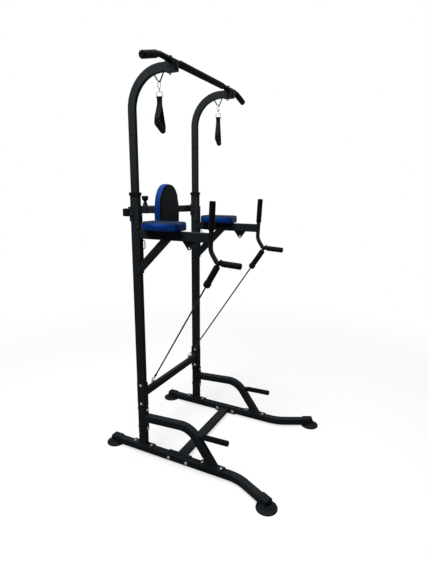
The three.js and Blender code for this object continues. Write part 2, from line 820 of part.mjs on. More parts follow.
// Arm: a long bracket on the upright's front, the arm tube, its brace and what hangs on them
function makeArm() {
  const plateY = uprightFront - plateOutside;
  const middle = (armBracketLow + armBracketHigh) / 2;
  const back = framed(
    bracket(uprightWidth, armBracketHigh - armBracketLow),
    at(sideReach, uprightFront, middle),
    X,
    Y.clone().negate(),
  );
  const armSection = rectangle(uprightWidth, armHeight, tubeCorner);
  const armBore = hollow(uprightWidth, armHeight, tubeCorner);
  const armEnd = (y) => at(sideReach, y, armLevel);
  const arm = straight(armSection, armEnd(plateY + weldSink), armEnd(-armReach), X);
  const braceFoot = at(sideReach, plateY, braceFootLevel);
  const braceHead = at(sideReach, -braceTopSetback, armLevel - armHeight / 2);
  const braceHeading = braceHead.clone().sub(braceFoot).normalize();
  const braceStart = braceFoot.clone().addScaledVector(braceHeading, -braceDepth);
  const braceEnd = braceHead.clone().addScaledVector(braceHeading, armHeight / 2);
  const braceSection = rectangle(uprightWidth, braceDepth, tubeCorner);
  const behind = block(
    at(sideReach - uprightWidth, plateY + weldSink, braceFootLevel - 2 * braceDepth),
    at(sideReach + uprightWidth, plateY + 2 * braceDepth, braceFootLevel + 2 * braceDepth),
  );
  const brace = cut(straight(braceSection, braceStart, braceEnd, X), behind);
  const braceInside = hollow(uprightWidth, braceDepth, tubeCorner);
  const braceBore = cut(straight(braceInside, braceStart, braceHead, X), behind);
  const clampTip = uprightFront + (uprightDepth - mastDepth) / 2 - runningGap;
  const pieces = [back, arm, brace, makeHanger(), makeHookLoop(plateY)];
  pieces.push(boltHead(at(sideReach, plateY, clampBoltLevel), Y.clone().negate()));
  pieces.push(
    rod(at(sideReach, plateY, clampBoltLevel), at(sideReach, clampTip, clampBoltLevel), clampBoltRadius),
  );
  for (const sign of [-1, 1]) {
    const side = sideReach + sign * (uprightWidth / 2 + plateOutside);
    const outward = X.clone().multiplyScalar(sign);
    pieces.push(boltHead(at(side, -armSideBoltSetback, armSideBoltLevel), outward));
  }
  const boreTool = straight(armBore, armEnd(plateY), armEnd(-armReach - overrun), X);
  const cope = rod(handleCorners[0], handleCorners[1], clearRadius(handleRadius), turnedSides);
  return cut(join(...pieces), boreTool, braceBore, cope);
}

// The triangular hanger under the arm, with a hole for a spring hook
function makeHanger() {
  const half = hangerWidth / 2;
  const shape = new THREE.Shape();
  const tip = hangerTipRadius * Math.SQRT1_2;
  const tipLevel = hangerTipRadius - hangerDrop;
  shape.moveTo(-half, weldSink);
  shape.lineTo(-tip, tipLevel - tip);
  shape.absarc(0, tipLevel, hangerTipRadius, -0.75 * Math.PI, -0.25 * Math.PI);
  shape.lineTo(half, weldSink);
  shape.holes.push(circleAt(0, tipLevel, hangerHoleRadius));
  const foot = at(sideReach, -hangerSetback, armLevel - armHeight / 2);
  return framed(plate(shape, hangerThickness, 3), foot, Y, Z);
}

function circleAt(x, y, radius) {
  return new THREE.Path().absarc(x, y, radius, 0, 2 * Math.PI);
}

function makeHookLoop(plateY) {
  const foot = at(sideReach, plateY, hookLoopLevel);
  return rodLoop(foot, Z, Y.clone().negate(), hookLoopHeight, hookLoopReach, wireRadius);
}

function makeArmPad() {
  const squareness = 7; // 2 is an oval, and more is squarer
  const rim = (angle) => roundedPoint(angle, armPadWidth / 2, armPadLength / 2, squareness);
  const level = armLevel + armHeight / 2 + seatGap + armPadThickness / 2;
  return cushion(rim, armPadThickness).translate(sideReach, -armPadRear - armPadLength / 2, level);
}

// Backrest crossbar: a hat-shaped tube behind the uprights, with the sleeve for the slide at its middle
const backrestEndReach = sideReach + backrestOverhang;
const backrestOuterCorner = sideReach - backrestCornerInset;
const backrestEndY = uprightDepth / 2 + plateOutside + backrestTubeSize / 2 - weldSink;
const sleeveTop = backrestLevel + sleeveSize / 2;

function makeBackrestCrossbar() {
  const innerY = backrestEndY + backrestJoggle;
  const corners = [
    at(-backrestEndReach, backrestEndY, backrestLevel),
    at(-backrestOuterCorner, backrestEndY, backrestLevel),
    at(-backrestInnerCorner, innerY, backrestLevel),
    at(backrestInnerCorner, innerY, backrestLevel),
    at(backrestOuterCorner, backrestEndY, backrestLevel),
    at(backrestEndReach, backrestEndY, backrestLevel),
  ];
  const radii = Array(4).fill(backrestBendRadius);
  const section = boxTubeSection(backrestTubeSize, backrestTubeSize, tubeCorner, tubeWall);
  const tube = swept(section, new Route(corners, Z, radii, 3));
  const sleeveAxis = (y) => at(0, y, backrestLevel);
  const sleeve = straight(
    rectangle(sleeveSize, sleeveSize, tubeCorner),
    sleeveAxis(sleeveFront),
    sleeveAxis(sleeveRear),
    X,
  );
  const housing = turned(
    [
      [0, -weldSink],
      [knobHousingRadius, -weldSink],
      [knobHousingRadius, plateThickness],
      [knobHousingTopRadius, knobHousingHeight],
      [0, knobHousingHeight],
    ],
    at(0, knobSetback, sleeveTop),
    Z,
  );
  const pieces = [tube, sleeve, housing];
  for (const sign of [-1, 1]) {
    const rear = at(sign * sideReach, uprightDepth / 2, backrestEarLevel);
    pieces.push(framed(bracket(uprightWidth, backrestEarLength), rear, X, Y));
    for (const way of [-1, 1]) {
      const side = sign * sideReach + way * (uprightWidth / 2 + plateOutside);
      const outward = X.clone().multiplyScalar(way);
      pieces.push(boltHead(at(side, backrestEarBoltSetback, backrestEarLevel - plateThickness), outward));
    }
  }
  const boreSize = slideSize + 2 * runningGap;
  const bore = straight(
    rectangle(boreSize, boreSize, tubeCorner),
    sleeveAxis(sleeveFront - overrun),
    sleeveAxis(sleeveRear + overrun),
    X,
  );
  const chamber = rod(
    at(0, knobSetback, sleeveTop + knobChamberFloor),
    at(0, knobSetback, sleeveTop + knobChamberFloor + knobChamberHeight),
    knobChamberRadius,
    turnedSides,
  );
  const pinBore = rod(
    at(0, knobSetback, backrestLevel),
    at(0, knobSetback, sleeveTop + knobHousingHeight + overrun),
    knobPinRadius + runningGap,
    turnedSides,
  );
  return cut(join(...pieces), bore, chamber, pinBore);
}

function makeBackrestCap() {
  const inside = hollow(backrestTubeSize, backrestTubeSize, tubeCorner, tubeWall + seatGap);
  const end = (x) => at(x, backrestEndY, backrestLevel);
  const face = backrestEndReach + seatGap;
  return join(
    straight(
      rectangle(backrestTubeSize, backrestTubeSize, tubeCorner),
      end(face),
      end(face + endCapThickness),
      Z,
    ),
    straight(inside, end(face - endCapDepth), end(face + weldSink), Z),
  );
}

// The mount behind the back pad, and the square tube that sits in it and slides in the sleeve
const padBack = backPadThickness - backPadFront;
const plateFront = padBack + seatGap;
const plateRear = plateFront + mountPlateThickness;
const onSlide = (y) => at(0, y, backrestLevel);

function makeBackPadMount() {
  const mountRear = sleeveFront - slideRearTravel - mountPlay;
  const plateSection = rectangle(mountPlateSize, mountPlateSize, railCorner);
  const blockSection = rectangle(mountBlockSize, mountBlockSize, tubeCorner);
  const socketSize = slideSize + 2 * seatGap;
  const socketSection = rectangle(socketSize, socketSize, mastCorner);
  return cut(
    join(
      straight(plateSection, onSlide(plateFront), onSlide(plateRear), X),
      straight(blockSection, onSlide(plateFront + weldSink), onSlide(mountRear), X),
    ),
    straight(socketSection, onSlide(plateRear), onSlide(mountRear + overrun), X),
  );
}

function makeBackrestSlide() {
  const section = boxTubeSection(slideSize, slideSize, mastCorner, slideWall);
  const tube = straight(section, onSlide(plateRear + seatGap), onSlide(slideRear), X);
  const slotHalf = knobPinRadius + runningGap;
  const slotTop = backrestLevel + slideSize / 2;
  const slotRear = knobSetback - slotHalf - slideRearTravel - overrun;
  const slotFront = knobSetback + slotHalf + slideForwardTravel;
  const slot = block(
    at(-slotHalf, slotRear, slotTop - slideWall - overrun),
    at(slotHalf, slotFront, slotTop + overrun),
  );
  return cut(tube, slot);
}

function makeBackPad() {
  const upperSquareness = 2.3;
  const lowerSquareness = 4.5;
  const middle = backPadBottom + backPadWidth / 2;
  const rim = (angle) => {
    const upper = Math.sin(angle) > 0;
    const halfHeight = upper ? backPadTop - middle : middle - backPadBottom;
    return roundedPoint(angle, backPadWidth / 2, halfHeight, upper ? upperSquareness : lowerSquareness);
  };
  const pad = cushion(rim, backPadThickness).rotateX(Math.PI / 2);
  return pad.translate(0, backPadThickness / 2 - backPadFront, middle);
}

function makePullKnob() {
  const tip = backrestLevel + slideSize / 2 - knobTipReach - sleeveTop;
  const shoulder = knobChamberFloor + runningGap;
  const head = knobHousingHeight + knobHeadGap;
  const neckShare = 1.5;
  const bellyShare = 0.35;
  const rimShare = 0.9;
  const crownShare = 0.85;
  const profile = [
    [0, tip],
    [knobPinRadius, tip],
    [knobPinRadius, shoulder],
    [knobShoulderRadius, shoulder],
    [knobShoulderRadius, shoulder + knobShoulderHeight],
    [knobPinRadius, shoulder + knobShoulderHeight],
    [knobPinRadius, head],
    [knobPinRadius * neckShare, head],
    [knobHeadRadius, head + knobHeadHeight * bellyShare],
    [knobHeadRadius, head + knobHeadHeight * rimShare],
    [knobHeadRadius * crownShare, head + knobHeadHeight],
    [0, head + knobHeadHeight],
  ];
  return turned(profile, at(0, knobSetback, sleeveTop), Z);
}

// The coil spring round the knob's pin, inside its housing
class Helix extends THREE.Curve {
  constructor(centre, radius, turns, height) {
    super();
    Object.assign(this, { centre, radius, turns, height });
  }

  getPoint(t, target = new THREE.Vector3()) {
    const angle = 2 * Math.PI * this.turns * t;
    const x = this.centre.x + this.radius * Math.cos(angle);
    const y = this.centre.y + this.radius * Math.sin(angle);
    return target.set(x, y, this.centre.z + this.height * t);
  }
}

function makeKnobSpring() {
  const shoulderTop = knobChamberFloor + runningGap + knobShoulderHeight;
  const low = sleeveTop + shoulderTop + springWire + seatGap;
  const high = sleeveTop + knobChamberFloor + knobChamberHeight - springWire - seatGap;
  const helix = new Helix(at(0, knobSetback, low), springRadius, springTurns, high - low);
  const settings = { steps: springTurns * 8, curveSegments: 3, extrudePath: helix };
  return new THREE.ExtrudeGeometry(circle(springWire), settings);
}

// The eye under a mast: two legs that meet in a rounded tip, where a hook hangs
const eyeTop = mastTop - mastDepth / 2 + weldSink;
const eyeCorners = [
  at(sideReach, -ringEyeRear, eyeTop),
  at(sideReach, -ringEyeSetback, ringEyeTip),
  at(sideReach, -ringEyeFront, eyeTop),
];
const eyeLegs = [eyeCorners[0], eyeCorners[2]].map((top) => top.clone().sub(eyeCorners[1]).normalize());
const eyeHalfAngle = eyeLegs[0].angleTo(eyeLegs[1]) / 2;
const eyeAxis = eyeLegs[0].clone().add(eyeLegs[1]).normalize();
const eyeCentre = eyeCorners[1].clone().addScaledVector(eyeAxis, ringEyeBend / Math.sin(eyeHalfAngle));
const eyeLow = eyeCentre.clone().addScaledVector(Z, -ringEyeBend);

// Mast: the upper tube, bent over to the front, with the cradle of the pull-up bar and the ring eyes
function makeMast() {
  const path = (extra) => {
    const low = at(sideReach, 0, mastBottom - extra);
    const corner = at(sideReach, 0, mastTop);
    const front = at(sideReach, -mastReach - extra, mastTop);
    return new Route([low, corner, front], X, [mastBendRadius], bendSteps + 1);
  };
  const tube = swept(rectangle(mastWidth, mastDepth, mastCorner), path(0));
  const outline = new THREE.Shape();
  outline.moveTo(-cradleRear, cradleLow);
  outline.lineTo(-cradleRear, cradleHigh - cradleChamfer);
  outline.lineTo(-cradleRear - cradleChamfer, cradleHigh);
  outline.lineTo(-barSetback, cradleHigh);
  outline.lineTo(-barSetback, cradleFront);
  outline.lineTo(-mastReach, cradleFront);
  outline.lineTo(-mastReach, cradleLow);
  const cradle = framed(plate(outline, cradleWidth), at(sideReach, 0, 0), Y, Z);
  const bore = swept(hollow(mastWidth, mastDepth, mastCorner), path(overrun));
  const seat = rod(
    at(sideReach - cradleWidth, -barSetback, barLevel),
    at(sideReach + cradleWidth, -barSetback, barLevel),
    clearRadius(barRadius),
    turnedSides,
  );
  const holes = [mastHoleLow, mastHoleHigh].map((level) =>
    rod(at(sideReach - mastWidth, 0, level), at(sideReach + mastWidth, 0, level), mastHoleRadius),
  );
  const ringEye = swept(circle(ringEyeRadius), new Route(eyeCorners, X, [ringEyeBend], 4), wireSegments);
  const smallFoot = at(sideReach, -smallEyeSetback, cradleLow);
  const smallEye = rodLoop(smallFoot, Y, Z.clone().negate(), smallEyeWidth, smallEyeDrop, smallEyeWire);
  return join(cut(join(tube, cradle), bore, seat, ...holes), ringEye, smallEye);
}

function makeMastCap() {
  const inside = [mastWidth, mastDepth].map((size) => size - 2 * (tubeWall + seatGap));
  const front = -mastReach - seatGap;
  const high = barLevel - barRadius - 2 * seatGap - runningGap;
  const low = mastTop - inside[1] / 2;
  return join(
    block(
      at(sideReach - cradleWidth / 2, front - mastCapThickness, cradleLow),
      at(sideReach + cradleWidth / 2, front, cradleFront),
    ),
    straight(
      rectangle(inside[0], high - low, mastCorner),
      at(sideReach, front - weldSink, (low + high) / 2),
      at(sideReach, front + mastCapSpigot, (low + high) / 2),
      X,
    ),
  );
}

const barCorners = [
  at(-barBendReach - barTipRun, -barSetback, barLevel - barTipDrop),
  at(-barBendReach, -barSetback, barLevel),
  at(barBendReach, -barSetback, barLevel),
  at(barBendReach + barTipRun, -barSetback, barLevel - barTipDrop),
];

function makePullUpBar() {
  const route = new Route(barCorners, Y, [barBendRadius, barBendRadius], 3);
  const tube = swept(roundTubeSection(barRadius, tubeWall), route, roundSegments);
  const heads = [-1, 1].map((sign) =>
    boltHead(at(sign * sideReach, -barSetback, barLevel + barRadius - weldSink), Z),
  );
  return join(tube, ...heads);
}

function makeCentreFoam() {
  const section = circle(barFoamRadius);
  section.holes.push(circle(clearRadius(barRadius)));
  const end = (x) => at(x, -barSetback, barLevel);
  return straight(section, end(-barFoamReach), end(barFoamReach), Z, roundSegments);
}

function makeTipGrip() {
  const inner = barCorners[2];
  const outer = barCorners[3];
  const axis = outer.clone().sub(inner).normalize();
  const bendReach = barBendRadius * Math.tan(axis.angleTo(X) / 2);
  const from = inner.clone().addScaledVector(axis, bendReach + tipGripClear);
  const to = outer.clone().addScaledVector(axis, gripEndWall + seatGap);
  return grip(from, to, barFoamRadius, barRadius);
}

// Hanging handle, drawn about the bottom of its ring eye, with the handle's own axis along X
const hookTop = ringEyeRadius + runningGap + hookWire;
const hookMiddle = hookTop - hookRadius - hookStraight / 2;
const hookBottom = hookMiddle - hookRadius - hookStraight / 2;
const hookEyeLevel = hookBottom - barrelHeight - hookEyeRadius + hookWire;
const ringTop = hookEyeLevel - hookEyeRadius + 2 * hookWire + runningGap;
const ringBarLevel = ringTop - ringHeight;
const strapGripLevel = ringBarLevel - webDrop;
const gateLow = hookMiddle - hookStraight / 2;
const gripAxis = at(Math.cos(degrees(strapTilt)), 0, -Math.sin(degrees(strapTilt)));
const gripUp = new THREE.Vector3().crossVectors(gripAxis, Y);
const gripMiddle = at(0, 0, strapGripLevel);

// An oval ring in its own XZ plane, made by drawing a torus apart
function ovalRing(radius, wire, straightLength, sides = webSides) {
  const geometry = new THREE.TorusGeometry(radius, wire, hexSides, sides).rotateZ(Math.PI / sides);
  const place = geometry.getAttribute("position");
  for (let i = 0; i < place.count; i++) {
    const y = place.getY(i);
    place.setY(i, y + (Math.sign(y) * straightLength) / 2);
  }
  return geometry.rotateX(Math.PI / 2);
}

function makeSnapHook() {
  const loop = ovalRing(hookRadius, hookWire, hookStraight).translate(0, 0, hookMiddle);
  const gap = block(
    at(0, -2 * hookWire, gateLow),
    at(2 * hookRadius, 2 * hookWire, gateLow + gateLength + 2 * seatGap),
  );
  const barrel = rod(at(0, 0, hookBottom), at(0, 0, hookBottom - barrelHeight), barrelRadius);
  const eye = new THREE.TorusGeometry(hookEyeRadius, hookWire, hexSides, smallSides);
  eye.rotateX(Math.PI / 2).rotateZ(degrees(hookTurn + strapTurn)).translate(0, 0, hookEyeLevel);
  return join(cut(loop, gap), barrel, eye);
}

function makeHookGate() {
  const profile = [
    [0, 0],
    [gateRadius * Math.SQRT1_2, gateRadius * (1 - Math.SQRT1_2)],
    [gateRadius, gateRadius],
    [gateRadius, gateLength],
    [0, gateLength],
  ];
  return turned(profile, at(hookRadius, 0, gateLow + seatGap), Z, wireSides);
}

function makeRing() {
  const half = ringWidth / 2;
  const arch = [
    at(0, -half, ringBarLevel),
    at(0, -half, ringTop),
    at(0, half, ringTop),
    at(0, half, ringBarLevel),
  ];
  const bendShare = 0.86;
  const bend = half * bendShare;
  const bow = swept(circle(ringWire), new Route(arch, X, [bend, bend], 3), wireSegments);
  const barEnd = (y) => at(0, y, ringBarLevel);
  const foot = rod(barEnd(-half - ringWire), barEnd(half + ringWire), ringWire, wireSides);
  return join(bow, foot);
}

// The webbing: a loop round the ring's bar, two legs that part, and the core that carries the grip
function makeStrap() {
  const loopRadius = ringWire + runningGap + webThickness;
  const halfGrip = strapGripLength / 2 + runningGap + webThickness / 2;
  const onGrip = (along, up) =>
    gripMiddle.clone().addScaledVector(gripAxis, along).addScaledVector(gripUp, up);
  const onBar = (y) => at(0, y, ringBarLevel);
  const loop = rod(onBar(-webWidth / 2), onBar(webWidth / 2), loopRadius, webSides);
  const pieces = [loop];
  for (const sign of [-1, 1]) {
    const shoulder = at((sign * webThickness) / 2, 0, ringBarLevel - loopRadius / 2);
    const parting = at((sign * webThickness) / 2, 0, ringBarLevel - webDrop * webPartingShare);
    const knee = onGrip(sign * halfGrip, webKneeHeight);
    const hem = onGrip(sign * halfGrip, 0);
    const route = new Route([shoulder, parting, knee, hem], Y, [webWidth, webKneeHeight / 2], 2);
    pieces.push(swept(rectangle(webWidth, webThickness, webThickness / 3), route));
    const hemStart = onGrip(sign * (halfGrip - webThickness / 2), 0);
    const hemEnd = onGrip(sign * (halfGrip + webThickness / 2), 0);
    pieces.push(rod(hemStart, hemEnd, webWidth / 2, webSides));
  }
  pieces.push(rod(onGrip(-halfGrip, 0), onGrip(halfGrip, 0), strapCoreRadius, webSides));
  const boreReach = webWidth / 2 + overrun;
  const bore = rod(
    at(0, -boreReach, ringBarLevel),
    at(0, boreReach, ringBarLevel),
    ringWire + runningGap,
    webSides,
  );
  return cut(join(...pieces), bore);
}

function makeStrapGrip() {
  const half = strapGripLength / 2;
  const bore = strapCoreRadius + runningGap;
  const profile = [
    [bore, -half],
    [strapGripRadius - gripEndRound, -half],
    [strapGripRadius, gripEndRound - half],
    [strapGripRadius, half - gripEndRound],
    [strapGripRadius - gripEndRound, half],
    [bore, half],
    [bore, -half],
  ];
  return turned(profile, gripMiddle, gripAxis);
}

// Bands: everything on one straight line from the loop on the dip handle to the eyelet on the crossbar
const elbowToEnd = handleCorners[3].clone().sub(handleCorners[2]);
const loopShare = (bandLoopSetback - handleElbowSetback) / (handleEndSetback - handleElbowSetback);
const bandStart = handleCorners[2].clone().addScaledVector(elbowToEnd, loopShare);
const bandEnd = at(eyeletSpacing / 2, 0, crossbarLevel + crossbarHeight / 2 + eyeletHeight);
const bandAxis = bandEnd.clone().sub(bandStart).normalize();
const bandLength = bandEnd.distanceTo(bandStart);
const onBand = (distance) => bandStart.clone().addScaledVector(bandAxis, distance);
const bandLoopRadius = handleRadius * bandLoopShare + bandLoopWire + runningGap;
const knobEnd = bandGripStart + bandGripLength + bandKnobLength;
const linkPast = wireRadius + linkWire + runningGap;
const linkMiddle = bandLength + linkPast - linkRadius - linkStraight / 2;
const linkTop = linkMiddle - linkRadius - linkStraight / 2;
const plugEyeMiddle = linkTop + linkWire + plugEyeWire + runningGap - plugEyeRadius;
const plugFront = plugEyeMiddle - plugEyeRadius;
const plugBack = plugFront - plugLength;
const linkAcross = X.clone().addScaledVector(bandAxis, -X.dot(bandAxis)).normalize();

// The handle of a band: a loop round the dip handle, a grip and the knob that the band leaves
function makeBandHandle() {
  const loop = new THREE.TorusGeometry(bandLoopRadius, bandLoopWire, thinSides, turnedSides);
  framed(loop, bandStart, linkAcross, bandAxis);
  const gripEnd = bandGripLength + bandGripStart;
  const profile = [
    [0, bandLoopRadius],
    [bandNeckRadius, bandLoopRadius],
    [bandNeckRadius, bandGripStart],
    [bandGripRadius, bandGripStart],
    [bandGripRadius, gripEnd],
    [bandKnobRadius - gripEndRound, gripEnd],
    [bandKnobRadius, gripEnd + gripEndRound],
    [bandKnobRadius, knobEnd - 2 * gripEndRound],
    [bandKnobRadius - 2 * gripEndRound, knobEnd],
    [0, knobEnd],
  ];
  return join(loop, turned(profile, bandStart, bandAxis));
}

function makeBand() {
  return rod(onBand(knobEnd + seatGap), onBand(plugBack - seatGap), bandRadius, wireSides);
}

function makeBandPlug() {
  const mouthShare = 0.8;
  const tipShare = 0.5;
  const endShares = [0.15, 0.8];
  const tip = plugLength + plugEyeWire / 2;
  const body = turned(
    [
      [0, 0],
      [plugRadius * mouthShare, 0],
      [plugRadius, plugLength * endShares[0]],
      [plugRadius, plugLength * endShares[1]],
      [plugRadius * tipShare, tip],
      [0, tip],
    ],
    onBand(plugBack),
    bandAxis,
    smallSides,
  );
  const eye = new THREE.TorusGeometry(plugEyeRadius, plugEyeWire, thinSides, smallSides);
  return join(body, framed(eye, onBand(plugEyeMiddle), linkAcross, bandAxis));
}

function makeLink() {
  const across = new THREE.Vector3().crossVectors(bandAxis, linkAcross);
  const link = ovalRing(linkRadius, linkWire, linkStraight);
  return framed(link, onBand(linkMiddle), across, linkAcross.clone().negate());
}

// Finishes
function finish(color, roughness, metalness) {
  return () => new THREE.MeshStandardMaterial({ color, roughness, metalness });
}
const paint = finish(0x17191b, 0.42, 0.3);
const foam = finish(0x0e0e0f, 0.9, 0);
const rubber = finish(0x121213, 0.75, 0);
const plastic = finish(0x131415, 0.5, 0);
const vinyl = finish(0x14306e, 0.55, 0);
const webbing = finish(0x101012, 0.95, 0);
const steel = finish(0xb9bdc0, 0.3, 0.9);
const elastic = finish(0x1b1b1c, 0.6, 0);

function piece(name, geometry, material) {
  const mesh = new THREE.Mesh(geometry, material());
  mesh.name = name;
  return mesh;
}

// The pieces of one side, drawn for the right and mirrored for the left
function makeSide(side, sign) {
  const group = new THREE.Group();
  group.scale.x = sign;
  const add = (name, geometry, material) => group.add(piece(`${side}_${name}`, geometry, material));
  add("rail", makeRail(), paint);
  add("front_foot", makeFrontFoot(), rubber);
  add("rear_foot", makeRearFoot(), rubber);
  add("upright", makeUpright(), paint);
  add("upright_bushing", makeBushing(), plastic);
  add("push_up_handle", makePushHandle(), paint);
  add("push_up_grip", makePushGrip(), foam);
  add("arm", makeArm(), paint);
  add("arm_pad", makeArmPad(), vinyl);
  add("dip_handle", makeDipHandle(), paint);
  add("vertical_grip", makeVerticalGrip(), foam);
  add("forward_grip", makeForwardGrip(), foam);
  add("backrest_bar_cap", makeBackrestCap(), plastic);
  add("mast", makeMast(), paint);
  add("mast_cap", makeMastCap(), plastic);
  add("bar_tip_grip", makeTipGrip(), foam);
  add("band_handle", makeBandHandle(), foam);
  add("band", makeBand(), elastic);
  add("band_plug", makeBandPlug(), plastic);
  add("band_link", makeLink(), steel);
  return group;
}

// A hanging handle under one mast: the hook turns one way and what hangs below it another
function makeHangingHandle(side, sign) {
  const group = new THREE.Group();
  group.position.set(sign * sideReach, eyeLow.y, eyeLow.z);
  const hook = new THREE.Group();
  hook.rotation.z = degrees(-hookTurn);
  hook.add(piece(`${side}_snap_hook`, makeSnapHook(), steel));
  hook.add(piece(`${side}_hook_gate`, makeHookGate(), steel));
  const hanging = new THREE.Group();
  hanging.rotation.z = degrees(strapTurn);
  hanging.add(piece(`${side}_strap_ring`, makeRing(), steel));
  hanging.add(piece(`${side}_strap`, makeStrap(), webbing));
  hanging.add(piece(`${side}_strap_grip`, makeStrapGrip(), foam));
  return group.add(hook, hanging);
}

const station = new THREE.Group();
station.add(
  piece("base_cross_tube", makeBaseCrossTube(), paint),
  piece("lower_crossbar", makeLowerCrossbar(), paint),
  piece("backrest_crossbar", makeBackrestCrossbar(), paint),
  piece("back_pad_mount", makeBackPadMount(), paint),
  piece("backrest_slide", makeBackrestSlide(), paint),
  piece("back_pad", makeBackPad(), vinyl),
  piece("pull_knob", makePullKnob(), plastic),
  piece("knob_spring", makeKnobSpring(), steel),
  piece("pull_up_bar", makePullUpBar(), paint),
  piece("bar_centre_grip", makeCentreFoam(), foam),
);
for (const [side, sign] of [
  ["left", -1],
  ["right", 1],
]) {
  station.add(makeSide(side, sign), makeHangingHandle(side, sign));
}

// The part's origin lies on the floor at the middle of its outline
const outline = new THREE.Box3().setFromObject(station, true);
station.position.y = -(outline.min.y + outline.max.y) / 2;

const dipStation = new THREE.Group();
dipStation.add(station);
export default dipStation;
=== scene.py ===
import json
import math

import bmesh
import bpy
from mathutils import Matrix, Vector
from mathutils.bvhtree import BVHTree


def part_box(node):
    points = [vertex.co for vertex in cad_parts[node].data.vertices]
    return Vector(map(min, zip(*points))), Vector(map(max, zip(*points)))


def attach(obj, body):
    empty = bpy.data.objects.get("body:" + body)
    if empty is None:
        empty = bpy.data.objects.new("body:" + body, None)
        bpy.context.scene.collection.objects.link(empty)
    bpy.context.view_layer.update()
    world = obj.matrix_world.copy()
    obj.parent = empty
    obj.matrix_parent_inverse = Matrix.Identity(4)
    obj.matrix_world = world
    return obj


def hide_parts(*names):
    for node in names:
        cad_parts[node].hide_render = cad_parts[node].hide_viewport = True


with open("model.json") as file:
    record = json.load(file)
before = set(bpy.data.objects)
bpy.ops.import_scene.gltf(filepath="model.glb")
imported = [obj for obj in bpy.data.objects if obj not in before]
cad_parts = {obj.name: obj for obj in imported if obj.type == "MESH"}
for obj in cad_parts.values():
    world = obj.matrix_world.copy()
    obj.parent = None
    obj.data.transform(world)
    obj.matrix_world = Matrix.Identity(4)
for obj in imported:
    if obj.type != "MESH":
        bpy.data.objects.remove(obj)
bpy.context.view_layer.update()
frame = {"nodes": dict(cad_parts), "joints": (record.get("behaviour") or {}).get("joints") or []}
bushingLow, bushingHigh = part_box("left_upright_bushing")
stationY = (bushingLow.y + bushingHigh.y) / 2  # the row's y of the line through the two uprights
sides = {"left": -1, "right": 1}


def spot(x, y, z):  # a place given in metres from the uprights' line
    return Vector((x, y + stationY, z))


# Camera, at the photograph's viewing angle

camera = {
    "place": (-1.9459, -1.2692, 1.4159),
    "turn": -63.06,
    "down": 12.23,
    "roll": 0.21,
    "focalPixels": 413.2,
    "pictureHeight": 561,
    "sensor": 36.0,
}


def setCamera():
    data = bpy.data.cameras.new("photoCamera")
    data.sensor_width = camera["sensor"]
    data.lens = camera["focalPixels"] * camera["sensor"] / camera["pictureHeight"]
    data.clip_start, data.clip_end = 0.05, 60
    eye = bpy.data.objects.new("photoCamera", data)
    eye.location = spot(*camera["place"])
    turn = Matrix.Rotation(math.radians(camera["turn"]), 4, "Z")
    tilt = Matrix.Rotation(math.radians(90 - camera["down"]), 4, "X")
    roll = Matrix.Rotation(math.radians(camera["roll"]), 4, "Z")
    eye.rotation_mode = "QUATERNION"
    eye.rotation_quaternion = (turn @ tilt @ roll).to_quaternion()
    bpy.context.scene.collection.objects.link(eye)
    bpy.context.scene.camera = eye


setCamera()
print("camera set")


# Shader graphs: a Wire is one socket, and an expression on wires adds its Math nodes

class Wire:
    def __init__(self, graph, socket):
        self.graph = graph
        self.socket = socket

    def __add__(self, other):
        return self.graph.math("ADD", self, other)

    __radd__ = __add__

    def __sub__(self, other):
        return self.graph.math("SUBTRACT", self, other)

    def __rsub__(self, other):
        return self.graph.math("SUBTRACT", other, self)

    def __mul__(self, other):
        return self.graph.math("MULTIPLY", self, other)

    __rmul__ = __mul__

    def __truediv__(self, other):
        return self.graph.math("DIVIDE", self, other)

    def __pow__(self, other):
        return self.graph.math("POWER", self, other)


